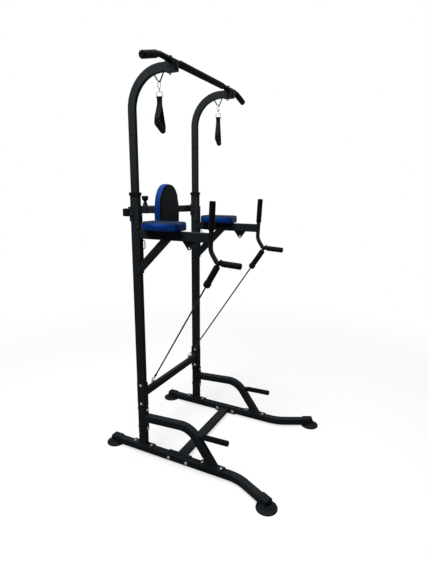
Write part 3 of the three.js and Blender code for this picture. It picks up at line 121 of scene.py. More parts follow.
class Graph:
    def __init__(self, name):
        self.material = bpy.data.materials.new(name)
        self.material.use_nodes = True
        self.tree = self.material.node_tree
        self.tree.nodes.clear()

    def node(self, kind, settings=None, inputs=None, output=0):
        made = self.tree.nodes.new(kind)
        for key, value in (settings or {}).items():
            if key == "stops":
                self.setStops(made.color_ramp, value)
            else:
                setattr(made, key, value)
        for key, value in (inputs or {}).items():
            self.feed(made.inputs[key], value)
        return Wire(self, made.outputs[output])

    def setStops(self, ramp, stops):
        while len(ramp.elements) < len(stops):
            ramp.elements.new(1.0)
        for element, (place, colour) in zip(ramp.elements, stops):
            element.position = place
            element.color = (*colour, 1.0)

    def feed(self, socket, value):
        if isinstance(value, Wire):
            self.tree.links.new(value.socket, socket)
        else:
            socket.default_value = value

    def math(self, operation, *values):
        return self.node("ShaderNodeMath", {"operation": operation}, dict(enumerate(values)))

    def place(self):  # the point of the surface, in metres, carried along by its body
        return self.node("ShaderNodeTexCoord", output="Object")

    def axis(self, vector, name):
        return self.node("ShaderNodeSeparateXYZ", inputs={0: vector}, output=name)

    def noise(self, scale, detail=3.0, vector=None, roughness=0.5):
        inputs = {"Scale": scale, "Detail": detail, "Roughness": roughness}
        inputs["Vector"] = vector or self.place()
        return self.node("ShaderNodeTexNoise", inputs=inputs, output="Fac")

    def cells(self, scale, feature="F1", vector=None):
        inputs = {"Scale": scale, "Vector": vector or self.place()}
        return self.node("ShaderNodeTexVoronoi", {"feature": feature}, inputs, "Distance")

    def step(self, value, low, high):  # 0 below low, 1 above high, smooth between
        inputs = {"Value": value, "From Min": low, "From Max": high}
        return self.node("ShaderNodeMapRange", {"interpolation_type": "SMOOTHSTEP"}, inputs)

    def mix(self, share, first, second):  # of two colours
        inputs = {0: share, 6: first, 7: second}
        return self.node("ShaderNodeMix", {"data_type": "RGBA"}, inputs, 2)

    def bump(self, height, depth, strength=1.0, below=None):
        inputs = {"Height": height, "Distance": depth, "Strength": strength}
        if below:
            inputs["Normal"] = below
        return self.node("ShaderNodeBump", inputs=inputs)

    def output(self, shader):
        end = self.tree.nodes.new("ShaderNodeOutputMaterial")
        self.tree.links.new(shader.socket, end.inputs["Surface"])
        return self.material

    def finish(self, values):
        return self.output(self.node("ShaderNodeBsdfPrincipled", inputs=values))


# Finishes

paint = {"colour": (0.0145, 0.0178, 0.0205), "sheen": 0.01, "roughness": 0.42, "peel": 0.00012}
foam = {"colour": (0.004, 0.0046, 0.005), "sheen": 0.022, "roughness": 0.62, "cell": 0.0011, "depth": 0.0001}
vinyl = {
    "blue": (0.0015, 0.026, 0.15),
    "armTop": (0.0022, 0.0085, 0.026),
    "backFace": (0.0024, 0.0038, 0.0052),
    "sheen": 0.032,
    "grain": 0.0014,
    "depth": 0.00022,
}
rubber = {"colour": (0.0088, 0.0106, 0.012), "sheen": 0.012, "roughness": 0.58}
moulding = {"colour": (0.0045, 0.0053, 0.006), "sheen": 0.022, "roughness": 0.42}
zinc = {"colour": (0.3, 0.31, 0.32), "roughness": 0.36}
chrome = {"colour": (0.36, 0.37, 0.38), "roughness": 0.2}
weave = {"colour": (0.005, 0.005, 0.0056), "sheen": 0.03, "thread": 0.0016, "turn": 20}


def powderCoat():
    g = Graph("powderCoat")
    cloud = g.noise(9.0, 4.0)
    speck = g.noise(1500.0, 2.0)
    peel = g.noise(420.0, 2.0)
    shade = g.mix(cloud, [c * 0.86 for c in paint["colour"]] + [1], [c * 1.16 for c in paint["colour"]] + [1])
    return g.finish({
        "Base Color": shade,
        "Roughness": paint["roughness"] + (cloud - 0.5) * 0.12 + (speck - 0.5) * 0.08,
        "Specular IOR Level": paint["sheen"],
        "Normal": g.bump(peel + speck * 0.4, paint["peel"], 0.6),
    })


def foamSkin():
    g = Graph("foamSkin")
    cells = g.cells(1 / foam["cell"])
    worn = g.noise(35.0, 4.0)
    shade = g.mix(worn, [c * 0.8 for c in foam["colour"]] + [1], [c * 1.25 for c in foam["colour"]] + [1])
    return g.finish({
        "Base Color": shade,
        "Roughness": foam["roughness"] + (worn - 0.5) * 0.16,
        "Specular IOR Level": foam["sheen"],
        "Normal": g.bump(cells + g.noise(260.0) * 0.8, foam["depth"], 0.8),
    })


def padVinyl(name, topAxis, seam, towards, topColour):
    # black above the seam, blue below it; the grain is a net of fine creases
    g = Graph(name)
    place = g.place()
    height = g.axis(place, topAxis) * towards
    top = g.step(height, seam - 0.0002, seam + 0.0002)
    creases = g.cells(1 / vinyl["grain"], "DISTANCE_TO_EDGE")
    pores = g.noise(900.0, 3.0)
    tone = g.noise(14.0, 3.0)
    blue = g.mix(tone, [c * 0.85 for c in vinyl["blue"]] + [1], [c * 1.15 for c in vinyl["blue"]] + [1])
    black = g.mix(tone, [c * 0.85 for c in topColour] + [1], [c * 1.2 for c in topColour] + [1])
    return g.finish({
        "Base Color": g.mix(top, blue, black),
        "Roughness": 0.42 + (pores - 0.5) * 0.14 + top * 0.06,
        "Specular IOR Level": vinyl["sheen"],
        "Normal": g.bump(g.step(creases, 0.0, 0.12) + pores * 0.5, vinyl["depth"], 0.7),
    })


def footRubber():
    g = Graph("footRubber")
    dust = g.noise(40.0, 5.0)
    shade = g.mix(dust, list(rubber["colour"]) + [1], [c * 1.6 for c in rubber["colour"]] + [1])
    grain = g.noise(1300.0, 2.0)
    return g.finish({
        "Base Color": shade,
        "Roughness": rubber["roughness"] + (dust - 0.5) * 0.2,
        "Specular IOR Level": rubber["sheen"],
        "Normal": g.bump(grain, 0.0001, 0.6),
    })


def blackMoulding():
    g = Graph("blackMoulding")
    grain = g.noise(1600.0, 2.0)
    return g.finish({
        "Base Color": g.mix(g.noise(30.0), [c * 0.85 for c in moulding["colour"]] + [1],
                            [c * 1.2 for c in moulding["colour"]] + [1]),
        "Roughness": moulding["roughness"] + (grain - 0.5) * 0.1,
        "Specular IOR Level": moulding["sheen"],
        "Normal": g.bump(grain, 0.00006, 0.5),
    })


def brightPlate(name, look, brushing):
    g = Graph(name)
    cloud = g.noise(120.0, 4.0)
    fine = g.noise(2500.0, 2.0)
    dull = [c * 0.88 for c in look["colour"]] + [1]
    bright = [min(1, c * 1.06) for c in look["colour"]] + [1]
    shade = g.mix(cloud, dull, bright)
    return g.finish({
        "Base Color": shade,
        "Metallic": 1.0,
        "Roughness": look["roughness"] + (cloud - 0.5) * 0.12,
        "Normal": g.bump(fine, brushing, 0.4),
    })


def wovenBand():
    # webbing: ribs along it and a herringbone of threads, from the direction in which the handles hang
    g = Graph("wovenBand")
    place = g.place()
    turn = math.radians(weave["turn"])
    across = (g.axis(place, "Y") * math.cos(turn) - g.axis(place, "X") * math.sin(turn)) / weave["thread"]
    along = g.axis(place, "Z") / weave["thread"]
    ribs = g.math("SINE", across * math.pi)
    picks = g.math("SINE", (along + g.math("ABSOLUTE", ribs) * 0.5) * math.pi)
    height = g.math("ABSOLUTE", ribs) * 0.6 + g.math("ABSOLUTE", picks) * 0.4
    fuzz = g.noise(1800.0, 2.0)
    # the colour is darker where the threads lie low: painted shade in the hollows of the weave
    shade = g.mix(height, [c * 0.5 for c in weave["colour"]] + [1], [c * 1.5 for c in weave["colour"]] + [1])
    return g.finish({
        "Base Color": shade,
        "Roughness": 0.78 + (fuzz - 0.5) * 0.2,
        "Specular IOR Level": weave["sheen"],
        "Normal": g.bump(height + fuzz * 0.3, 0.0003, 0.8),
    })


def elasticSkin():
    g = Graph("elasticSkin")
    bloom = g.noise(60.0, 4.0)
    return g.finish({
        "Base Color": g.mix(bloom, (0.012, 0.012, 0.013, 1), (0.022, 0.022, 0.023, 1)),
        "Roughness": 0.5 + (bloom - 0.5) * 0.2,
        "Specular IOR Level": 0.06,
        "Normal": g.bump(g.noise(900.0), 0.00008, 0.5),
    })


def pipingHighlightVinyl():
    # the piping's colour is lighter than the pad's top: a painted highlight of the rim catching the light
    g = Graph("pipingHighlightVinyl")
    grain = g.noise(900.0, 3.0)
    return g.finish({
        "Base Color": g.mix(grain, (0.016, 0.024, 0.04, 1), (0.026, 0.036, 0.058, 1)),
        "Roughness": 0.4 + (grain - 0.5) * 0.15,
        "Specular IOR Level": 0.12,
        "Normal": g.bump(grain, 0.0001, 0.6),
    })


finishes = {
    "paint": powderCoat(),
    "foam": foamSkin(),
    "foot_rubber": footRubber(),
    "plastic": blackMoulding(),
    "bright_steel": brightPlate("brightPlate", chrome, 0.00001),
    "zinc": brightPlate("zincPlate", zinc, 0.00003),
    "webbing": wovenBand(),
    "elastic": elasticSkin(),
    "piping": pipingHighlightVinyl(),
}
print("finishes made")


# Studio: white floor, white surroundings, one large soft light overhead and a weak one from the left

studio = {
    "floorShade": 0.92,
    "floorMottle": 0.005,
    "floorBounce": 0.18,  # what the floor gives back to the object
    "ambient": 0.09,
    "overhead": 175,
    "highLeft": 30,
    "fade": (1.0, 3.2),
    "nearGlow": 0.7,
}


def makeFloor():
    mesh = bpy.data.meshes.new("floor")
    built = bmesh.new()
    bmesh.ops.create_circle(built, cap_ends=True, radius=14, segments=96)
    built.to_mesh(mesh)
    floor = bpy.data.objects.new("floor", mesh)
    bpy.context.scene.collection.objects.link(floor)
    g = Graph("studioFloor")
    darker = [studio["floorShade"] - studio["floorMottle"]] * 3 + [1]
    lighter = [studio["floorShade"] + studio["floorMottle"]] * 3 + [1]
    shade = g.mix(g.noise(0.8), darker, lighter)
    place = g.place()
    away = (g.axis(place, "X") ** 2 + g.axis(place, "Y") ** 2) ** 0.5
    kinds = ("Camera", "Glossy", "Transmission")
    rays = [g.node("ShaderNodeLightPath", output=f"Is {kind} Ray") for kind in kinds]
    seen = g.math("MAXIMUM", g.math("MAXIMUM", rays[0], rays[1]), rays[2])
    shade = g.mix(seen, [studio["floorBounce"]] * 3 + [1], shade)
    plain = g.node("ShaderNodeBsdfDiffuse", inputs={"Color": shade})
    white = g.node("ShaderNodeEmission", inputs={"Color": (1, 1, 1, 1), "Strength": 1.0})
    glow = seen * (g.step(away, *studio["fade"]) * (1 - studio["nearGlow"]) + studio["nearGlow"])
    g.output(g.node("ShaderNodeMixShader", inputs={0: glow, 1: plain, 2: white}))
    mesh.materials.append(g.material)


def lightWorld():
    world = bpy.data.worlds.new("studioWorld")
    bpy.context.scene.world = world
    world.use_nodes = True
    tree = world.node_tree
    tree.nodes.clear()
    path = tree.nodes.new("ShaderNodeLightPath")
    mirrored = tree.nodes.new("ShaderNodeMath")
    mirrored.operation = "MAXIMUM"
    tree.links.new(path.outputs["Is Glossy Ray"], mirrored.inputs[0])
    tree.links.new(path.outputs["Is Transmission Ray"], mirrored.inputs[1])
    shown = tree.nodes.new("ShaderNodeMath")
    shown.operation = "MAXIMUM"
    tree.links.new(path.outputs["Is Camera Ray"], shown.inputs[0])
    tree.links.new(mirrored.outputs[0], shown.inputs[1])
    bright = tree.nodes.new("ShaderNodeMapRange")
    tree.links.new(shown.outputs[0], bright.inputs["Value"])
    bright.inputs["To Min"].default_value = studio["ambient"]
    bright.inputs["To Max"].default_value = 1.0
    back = tree.nodes.new("ShaderNodeBackground")
    back.inputs["Color"].default_value = (1, 1, 1, 1)
    tree.links.new(bright.outputs[0], back.inputs["Strength"])
    out = tree.nodes.new("ShaderNodeOutputWorld")
    tree.links.new(back.outputs[0], out.inputs[0])


def addLamp(name, place, target, width, power):
    data = bpy.data.lights.new(name, "AREA")
    data.shape = "DISK"
    data.size = width
    data.energy = power
    lamp = bpy.data.objects.new(name, data)
    lamp.location = spot(*place)
    heading = spot(*target) - lamp.location
    lamp.rotation_mode = "QUATERNION"
    lamp.rotation_quaternion = heading.to_track_quat("-Z", "Y")
    bpy.context.scene.collection.objects.link(lamp)


makeFloor()
lightWorld()
addLamp("overheadLight", (-0.3, -0.2, 4.2), (0, 0, 0), 1.6, studio["overhead"])
addLamp("highLeftLight", (-1.25, 0.35, 2.65), (-0.2, -0.1, 1.4), 0.8, studio["highLeft"])
scene = bpy.context.scene
scene.view_settings.view_transform = "Standard"
print("studio lit")


# Mesh helpers

def unit(vector):
    return Vector(vector).normalized()


def routeOf(corners, radii, steps=16):  # stations of straight runs and round corners: (point, heading)
    corners = [Vector(c) for c in corners]
    headings = [(b - a).normalized() for a, b in zip(corners, corners[1:])]
    stations = [(corners[0], headings[0])]
    for corner, before, after, radius in zip(corners[1:], headings, headings[1:], radii):
        angle = before.angle(after)
        if angle < 1e-4:
            continue
        start = corner - before * radius * math.tan(angle / 2)
        inward = (after - before * after.dot(before)).normalized()
        for i in range(steps + 1):
            turn = angle * i / steps
            point = start + before * radius * math.sin(turn) + inward * radius * (1 - math.cos(turn))
            stations.append((point, (before * math.cos(turn) + inward * math.sin(turn)).normalized()))
    stations.append((corners[-1], headings[-1]))
    return stations


def circleOf(radius, sides=40):
    return [(radius * math.cos(2 * math.pi * i / sides), radius * math.sin(2 * math.pi * i / sides))
            for i in range(sides)]


def boxOf(width, depth, corner, steps=5):  # an outline with round corners
    points = []
    centres = [(1, 1, 0), (-1, 1, 90), (-1, -1, 180), (1, -1, 270)]
    for signX, signY, start in centres:
        for i in range(steps + 1):
            angle = math.radians(start + 90 * i / steps)
            points.append((signX * (width / 2 - corner) + corner * math.cos(angle),
                           signY * (depth / 2 - corner) + corner * math.sin(angle)))
    return points


def sweep(built, stations, side, loops, ends=True):
    # loops: one closed outline, or an outer and an inner one with as many points
    side = unit(side)
    rings = []
    for loop in loops:
        ring = []
        for point, heading in stations:
            across = (side - heading * side.dot(heading)).normalized()
            up = heading.cross(across)
            ring.append([built.verts.new(point + across * x + up * y) for x, y in loop])
        rings.append(ring)
    for index, ring in enumerate(rings):
        for low, high in zip(ring, ring[1:]):
            for i in range(len(low)):
                j = (i + 1) % len(low)
                face = (low[i], low[j], high[j], high[i])
                built.faces.new(face if index == 0 else face[::-1])
    if ends and len(rings) == 1:
        built.faces.new(rings[0][0][::-1])
        built.faces.new(rings[0][-1])
    if ends and len(rings) == 2:
        outer, inner = rings
        for i in range(len(loops[0])):
            j = (i + 1) % len(loops[0])
            built.faces.new((outer[0][j], outer[0][i], inner[0][i], inner[0][j]))
            built.faces.new((outer[-1][i], outer[-1][j], inner[-1][j], inner[-1][i]))


def turned(built, profile, base, axis, sides=48):
    # a profile of (radius, height) pairs about a line; a pair with no radius is a point on the line
    axis = unit(axis)
    across = axis.orthogonal().normalized()
    other = axis.cross(across)
    rings = []
    for radius, height in profile:
        centre = Vector(base) + axis * height
        if radius < 1e-7:
            rings.append([built.verts.new(centre)])
            continue
        rings.append([built.verts.new(centre + (across * math.cos(a) + other * math.sin(a)) * radius)
                      for a in (2 * math.pi * i / sides for i in range(sides))])
    for low, high in zip(rings, rings[1:]):
        for i in range(sides):
            j = (i + 1) % sides
            face = [low[i % len(low)], low[j % len(low)], high[j % len(high)], high[i % len(high)]]
            kept = [v for n, v in enumerate(face) if v not in face[:n]]
            if len(kept) > 2:
                built.faces.new(kept)


def torus(built, centre, normal, radius, wire, sides=48, around=14, stretch=0.0, along=None):
    # a wire ring, drawn out by stretch along a direction in its plane
    normal = unit(normal)
    along = unit(along) if along is not None else normal.orthogonal().normalized()
    across = normal.cross(along)
    rings = []
    for i in range(sides):
        angle = 2 * math.pi * (i + 0.5) / sides
        out = across * math.cos(angle) + along * math.sin(angle)
        middle = Vector(centre) + out * radius + along * math.copysign(stretch / 2, math.sin(angle))
        rings.append([built.verts.new(middle + (out * math.cos(t) + normal * math.sin(t)) * wire)
                      for t in (2 * math.pi * k / around for k in range(around))])
    for low, high in zip(rings, rings[1:] + rings[:1]):
        for k in range(around):
            n = (k + 1) % around
            built.faces.new((low[k], high[k], high[n], low[n]))


def settle(name, built, material, body, stands=(), smooth=40):
    # turns a finished bmesh into a piece that rides on a body
    bmesh.ops.remove_doubles(built, verts=built.verts, dist=1e-6)
    bmesh.ops.recalc_face_normals(built, faces=built.faces)
    mesh = bpy.data.meshes.new(name)
    built.to_mesh(mesh)
    built.free()
    piece = bpy.data.objects.new(name, mesh)
    bpy.context.scene.collection.objects.link(piece)
    mesh.materials.append(material)
    softenShading(mesh, smooth)
    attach(piece, body)
    if stands:
        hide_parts(*stands)
    return piece


def softenShading(mesh, angle):
    for face in mesh.polygons:
        face.use_smooth = True
    mesh.set_sharp_from_angle(angle=math.radians(angle))


def applied(piece):  # the piece's mesh with its modifiers worked in
    shown = piece.evaluated_get(bpy.context.evaluated_depsgraph_get())
    mesh = bpy.data.meshes.new_from_object(shown)
    piece.modifiers.clear()
    piece.data = mesh
    return piece


def slab(built, outline, origin, across, up, thickness, bevel):
    # adds a flat outline of constant thickness, centred on its own plane, with its edges rounded
    across, up = unit(across), unit(up)
    part = bmesh.new()
    out = across.cross(up)
    rings = [[part.verts.new(Vector(origin) + across * x + up * y + out * level) for x, y in outline]
             for level in (-thickness / 2, thickness / 2)]
    for i in range(len(outline)):
        j = (i + 1) % len(outline)
        part.faces.new((rings[0][i], rings[0][j], rings[1][j], rings[1][i]))
    part.faces.new(rings[0][::-1])
    part.faces.new(rings[1])
    bmesh.ops.recalc_face_normals(part, faces=part.faces)
    sharp = [edge for edge in part.edges if edge.calc_face_angle(0) > math.radians(30)]
    bmesh.ops.bevel(part, geom=sharp, offset=bevel, segments=3, profile=0.5, affect="EDGES")
    mesh = bpy.data.meshes.new("slab")
    part.to_mesh(mesh)
    part.free()
    built.from_mesh(mesh)
    bpy.data.meshes.remove(mesh)


def steadyFaces(piece):  # flat sides stay flat beside their round corners
    piece.modifiers.new("normals", "WEIGHTED_NORMAL").keep_sharp = True
    return piece


# Bands: elastic cords held taut between the dip handles and the eyelets of the lower crossbar

handle = {
    "corners": [
        (0.295, -0.422, 1.368),
        (0.295, -0.4115, 1.149),
        (0.295, -0.445, 1.0965),
        (0.295, -0.56, 1.09),
    ],
    "radii": [0.065, 0.016],
    "radius": 0.011,
    "wall": 0.0015,
}
band = {
    "loopSetback": 0.456, "eyelet": (0.1985, 0, 0.382), "thickness": 0.008,
    "gripStart": 0.022, "gripEnd": 0.116, "knobEnd": 0.143, "plugBack": 0.0592,
    "plugEye": 0.0302, "linkMiddle": 0.0121, "loopRadius": 0.0171, "loopWire": 0.0036,
}


def bandFrame(sign):  # start, length, axis and the direction across it that lies level
    elbow, end = (spot(sign * x, y, z) for x, y, z in handle["corners"][2:])
    start = elbow + (end - elbow) * ((band["loopSetback"] + handle["corners"][2][1]) / 0.115)
    x, y, z = band["eyelet"]
    stop = spot(sign * x, y, z)
    axis = (stop - start).normalized()
    across = Vector((sign, 0, 0))
    across = (across - axis * across.dot(axis)).normalized()
    return start, (stop - start).length, axis, across


def makeBandHandle(sign, side):
    start, _, axis, across = bandFrame(sign)
    built = bmesh.new()
    torus(built, start, axis.cross(across), band["loopRadius"], band["loopWire"], along=axis)
    ribs = []
    count = 22
    for i in range(count * 4 + 1):
        share = i / (count * 4)
        height = band["gripStart"] + 0.003 + (band["gripEnd"] - band["gripStart"] - 0.004) * share
        ribs.append((0.0156 - 0.0006 * (1 - math.cos(2 * math.pi * share * count)) / 2, height))
    neck = [(0, 0.0155), (0.0088, 0.0158), (0.0125, 0.0185), (0.0146, band["gripStart"]), (0.0153, 0.0238)]
    knob = [(0.0158, 0), (0.0171, 0.001), (0.018, 0.0035), (0.0182, 0.0075),
            (0.0182, 0.0175), (0.0176, 0.021),
            (0.0152, 0.025), (0.0115, 0.0267), (0.0066, 0.027), (0.0052, 0.0265), (0.0052, 0.022), (0, 0.022)]
    knob = [(radius, band["gripEnd"] + height) for radius, height in knob]
    turned(built, neck + ribs + knob, start, axis, 56)
    settle(f"{side}_band_grip", built, finishes["plastic"], "frame", [f"{side}_band_handle"])


def makePlug(sign, side):
    start, length, axis, across = bandFrame(sign)
    built = bmesh.new()
    back = length - band["plugBack"]
    profile = [(0, 0.001), (0.0043, 0.0009), (0.0045, 0), (0.005, 0.0004), (0.0055, 0.0036), (0.0055, 0.0112),
               (0.0051, 0.0118), (0.0055, 0.0124), (0.0055, 0.0186), (0.0048, 0.0212),
               (0.0029, 0.0242), (0, 0.0247)]
    turned(built, profile, start + axis * back, axis, 32)
    eye = start + axis * (length - band["plugEye"])
    torus(built, eye, axis.cross(across), 0.005, 0.0015, 32, 12, along=axis)
    stoodFor = [f"{side}_band_plug"]
    return settle(f"{side}_band_plug_end", built, finishes["plastic"], "frame", stoodFor)


def makeLink(sign, side):
    start, length, axis, across = bandFrame(sign)
    built = bmesh.new()
    middle = start + axis * (length - band["linkMiddle"])
    torus(built, middle, across, 0.006, 0.002, 48, 14, stretch=0.022, along=axis)
    nut = middle + axis.cross(across) * 0.006 - axis * 0.005
    hexNut(built, nut, axis, 0.0036, 0.01)
    stoodFor = [f"{side}_band_link"]
    return settle(f"{side}_carabiner", built, finishes["zinc"], "frame", stoodFor)


def hexNut(built, base, axis, radius, height, bevel=0.12):
    axis = unit(axis)
    across = axis.orthogonal().normalized()
    other = axis.cross(across)
    rings = []
    for share, level in ((1 - bevel, 0), (1, bevel), (1, 1 - bevel), (1 - bevel, 1)):
        centre = Vector(base) + axis * height * level
        rings.append([built.verts.new(centre + (across * math.cos(a) + other * math.sin(a)) * radius * share)
                      for a in (math.pi / 3 * i for i in range(6))])
    for low, high in zip(rings, rings[1:]):
        for i in range(6):
            built.faces.new((low[i], low[(i + 1) % 6], high[(i + 1) % 6], high[i]))
    built.faces.new(rings[0][::-1])
    built.faces.new(rings[-1])


def makeBand(sign, side):
    start, length, axis, _ = bandFrame(sign)
    first = band["knobEnd"] + 0.0003
    last = length - band["plugBack"] - 0.0003
    curve = bpy.data.curves.new(f"{side}_elastic", "CURVE")
    curve.dimensions = "3D"
    line = curve.splines.new("POLY")
    count = 17
    line.points.add(count - 1)
    for i, point in enumerate(line.points):
        point.co = (*(start + axis * (first + (last - first) * i / (count - 1))), 1)
    curve.bevel_depth = band["thickness"] / 2
    curve.bevel_resolution = 6
    curve.use_fill_caps = True
    curve.materials.append(finishes["elastic"])
    piece = bpy.data.objects.new(f"{side}_elastic", curve)
    bpy.context.scene.collection.objects.link(piece)
    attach(piece, "frame")
    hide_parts(f"{side}_band")
    makeBandHandle(sign, side)
    ends = [makePlug(sign, side), makeLink(sign, side)]
    last - first


for side, sign in sides.items():
    makeBand(sign, side)
print("bands strung")


# Painted and moulded CAD pieces: corners shaded round, edges broken a little

nodeFinish = {
    "front_foot": "foot_rubber", "rear_foot": "foot_rubber", "upright": "paint", "upright_bushing": "plastic",
    "arm": "paint", "backrest_bar_cap": "plastic", "base_cross_tube": "paint", "lower_crossbar": "paint",
    "back_pad_mount": "paint", "backrest_slide": "bright_steel", "knob_spring": "bright_steel",
}
edges = {"width": 0.0005, "sharp": 52}


def cornerShading():
    tree = bpy.data.node_groups.new("cornerShading", "GeometryNodeTree")
    for way in ("INPUT", "OUTPUT"):
        tree.interface.new_socket("Geometry", in_out=way, socket_type="NodeSocketGeometry")
    entry = tree.nodes.new("NodeGroupInput")
    faces = tree.nodes.new("GeometryNodeSetShadeSmooth")
    creases = tree.nodes.new("GeometryNodeSetShadeSmooth")
    creases.domain = "EDGE"
    creases.inputs["Shade Smooth"].default_value = False
    bend = tree.nodes.new("GeometryNodeInputMeshEdgeAngle")
    over = tree.nodes.new("FunctionNodeCompare")
    over.operation = "GREATER_THAN"
    over.inputs[1].default_value = math.radians(edges["sharp"])
    end = tree.nodes.new("NodeGroupOutput")
    tree.links.new(entry.outputs[0], faces.inputs["Geometry"])
    tree.links.new(faces.outputs[0], creases.inputs["Geometry"])
    tree.links.new(bend.outputs[0], over.inputs[0])
    tree.links.new(over.outputs[0], creases.inputs["Selection"])
    tree.links.new(creases.outputs[0], end.inputs[0])
    return tree


shading = cornerShading()


def dressNode(name, material):
    piece = frame["nodes"][name]
    piece.data.materials.clear()
    piece.data.materials.append(material)
    weld = piece.modifiers.new("weld", "WELD")
    weld.merge_threshold = 0.00002
    flat = piece.modifiers.new("flat", "DECIMATE")
    flat.decimate_type = "DISSOLVE"
    flat.angle_limit = math.radians(0.6)
    bevel = piece.modifiers.new("edges", "BEVEL")
    bevel.width = edges["width"]
    bevel.segments = 2
    bevel.limit_method = "ANGLE"
    bevel.angle_limit = math.radians(edges["sharp"])
    shade = piece.modifiers.new("shading", "NODES")
    shade.node_group = shading
    piece.modifiers.new("normals", "WEIGHTED_NORMAL").keep_sharp = True


for name in frame["nodes"]:
    plain = name.split("_", 1)[1] if name.startswith(("left_", "right_")) else name
    if plain in nodeFinish:
        dressNode(name, finishes[nodeFinish[plain]])
print("frame dressed")


# Bent tubes of the frame, with smooth bends, in the place of the faceted solids

bent = {"wall": 0.0015, "corner": 0.004, "steps": 28, "plate": 0.003, "gap": 0.0003, "wing": 0.02,
        "edge": 0.0007}
rail = {"size": 0.038, "wall": 0.002, "level": 0.028, "rear": 0.208, "straight": 0.57, "splay": 0.212,
        "angle": 27, "bend": 0.22}
mast = {"width": 0.02, "depth": 0.04, "corner": 0.003, "bottom": 1.2, "top": 1.945, "reach": 0.245,
        "bend": 0.165, "holes": (1.4365, 1.671), "hole": 0.0045}
cradle = {"width": 0.027, "rear": 0.194, "low": 1.92, "high": 1.979, "front": 1.966, "chamfer": 0.006,
          "setback": 0.215, "level": 1.971, "seat": 0.0127, "cap": 0.004}
push = {"size": 0.038, "bend": 0.115, "corners": [(0.0278, 0.2115), (0.3, 0.229), (0.428, 0.0503)],
        "wallLevel": 0.2025, "footSetback": 0.4195, "bracket": 0.137}
crossbar = {"level": 1.311, "end": (0.311, 0.0468), "outer": 0.235, "inner": (0.097, 0.1848), "bend": 0.06,
            "ear": 0.07, "earLevel": 1.303, "sleeve": 0.042, "bore": 0.0308, "sleeveEnds": (0.136, 0.23),
            "knob": 0.159}
columns = 0.295  # from the middle to an upright


def tubeLoops(width, depth, corner, wall):
    return [boxOf(width, depth, corner, 6), boxOf(width - 2 * wall, depth - 2 * wall, corner - wall * 0.9, 6)]


def makeRail(side, sign):
    turn = math.radians(rail["angle"])
    corner = spot(sign * columns, -rail["straight"], rail["level"])
    end = corner + Vector((sign * math.sin(turn), -math.cos(turn), 0)) * rail["splay"]
    rear = spot(sign * columns, rail["rear"], rail["level"])
    stations = routeOf([rear, corner, end], [rail["bend"]], bent["steps"])
    built = bmesh.new()
    loops = tubeLoops(rail["size"], rail["size"], bent["corner"] + 0.001, rail["wall"])
    sweep(built, stations, (0, 0, 1), loops)
    steadyFaces(settle(f"{side}_rail_tube", built, finishes["paint"], "frame", [f"{side}_rail"]))


def drill(piece, places, axis, radius, reach):
    # round holes straight through a piece
    built = bmesh.new()
    for place in places:
        turned(built, [(0, -reach), (radius, -reach), (radius, reach), (0, reach)], place, axis, 28)
    bmesh.ops.recalc_face_normals(built, faces=built.faces)
    mesh = bpy.data.meshes.new("drill")
    built.to_mesh(mesh)
    built.free()
    tool = bpy.data.objects.new("drill", mesh)
    bpy.context.scene.collection.objects.link(tool)
    hole = piece.modifiers.new("hole", "BOOLEAN")
    hole.object = tool
    hole.operation = "DIFFERENCE"
    hole.solver = "EXACT"
    applied(piece)
    bpy.data.objects.remove(tool)
    bpy.data.meshes.remove(mesh)
    softenShading(piece.data, 40)


def cradleOutline():
    seat, y, level = cradle["seat"], -cradle["setback"], cradle["level"]
    first = math.asin((cradle["high"] - level) / seat)
    last = -math.pi - math.asin((cradle["front"] - level) / seat)
    points = [(-cradle["rear"], cradle["low"]), (-cradle["rear"], cradle["high"] - cradle["chamfer"]),
              (-cradle["rear"] - cradle["chamfer"], cradle["high"])]
    for i in range(17):
        angle = first + (last - first) * i / 16
        points.append((y + seat * math.cos(angle), level + seat * math.sin(angle)))
    return points + [(-mast["reach"], cradle["front"]), (-mast["reach"], cradle["low"])]


def makeMast(side, sign):
    x = sign * columns
    corners = [spot(x, 0, mast["bottom"]), spot(x, 0, mast["top"]), spot(x, -mast["reach"], mast["top"])]
    built = bmesh.new()
    loops = tubeLoops(mast["width"], mast["depth"], mast["corner"], bent["wall"])
    sweep(built, routeOf(corners, [mast["bend"]], bent["steps"]), (1, 0, 0), loops)
    tube = settle(f"{side}_mast_tube", built, finishes["paint"], "masts", [f"{side}_mast"])
    drill(tube, [spot(x, 0, level) for level in mast["holes"]], (1, 0, 0), mast["hole"], mast["width"])
    steadyFaces(tube)
    built = bmesh.new()
    slab(built, cradleOutline(), spot(x, 0, 0), (0, 1, 0), (0, 0, 1), cradle["width"], bent["edge"])
    eye = [spot(x, y, z) for y, z in ((-0.12, 1.932), (-0.154, 1.881), (-0.182, 1.932))]
    sweep(built, routeOf(eye, [0.008], 10), (1, 0, 0), [circleOf(0.003, 20)])
    small = [spot(x, y, z) for y, z in ((-0.2195, 1.922), (-0.212, 1.9075), (-0.2045, 1.922))]
    sweep(built, routeOf(small, [0.003], 8), (1, 0, 0), [circleOf(0.002, 16)])
    steadyFaces(settle(f"{side}_bar_cradle", built, finishes["paint"], "masts"))
    built = bmesh.new()
    height = cradle["front"] - cradle["low"]
    middle = spot(x, -mast["reach"] - bent["gap"] - cradle["cap"] / 2, cradle["low"] + height / 2)
    slab(built, boxOf(cradle["width"], height, 0.0035), middle, (1, 0, 0), (0, 0, 1), cradle["cap"], 0.0018)
    settle(f"{side}_mast_plug", built, finishes["plastic"], "masts", [f"{side}_mast_cap"])


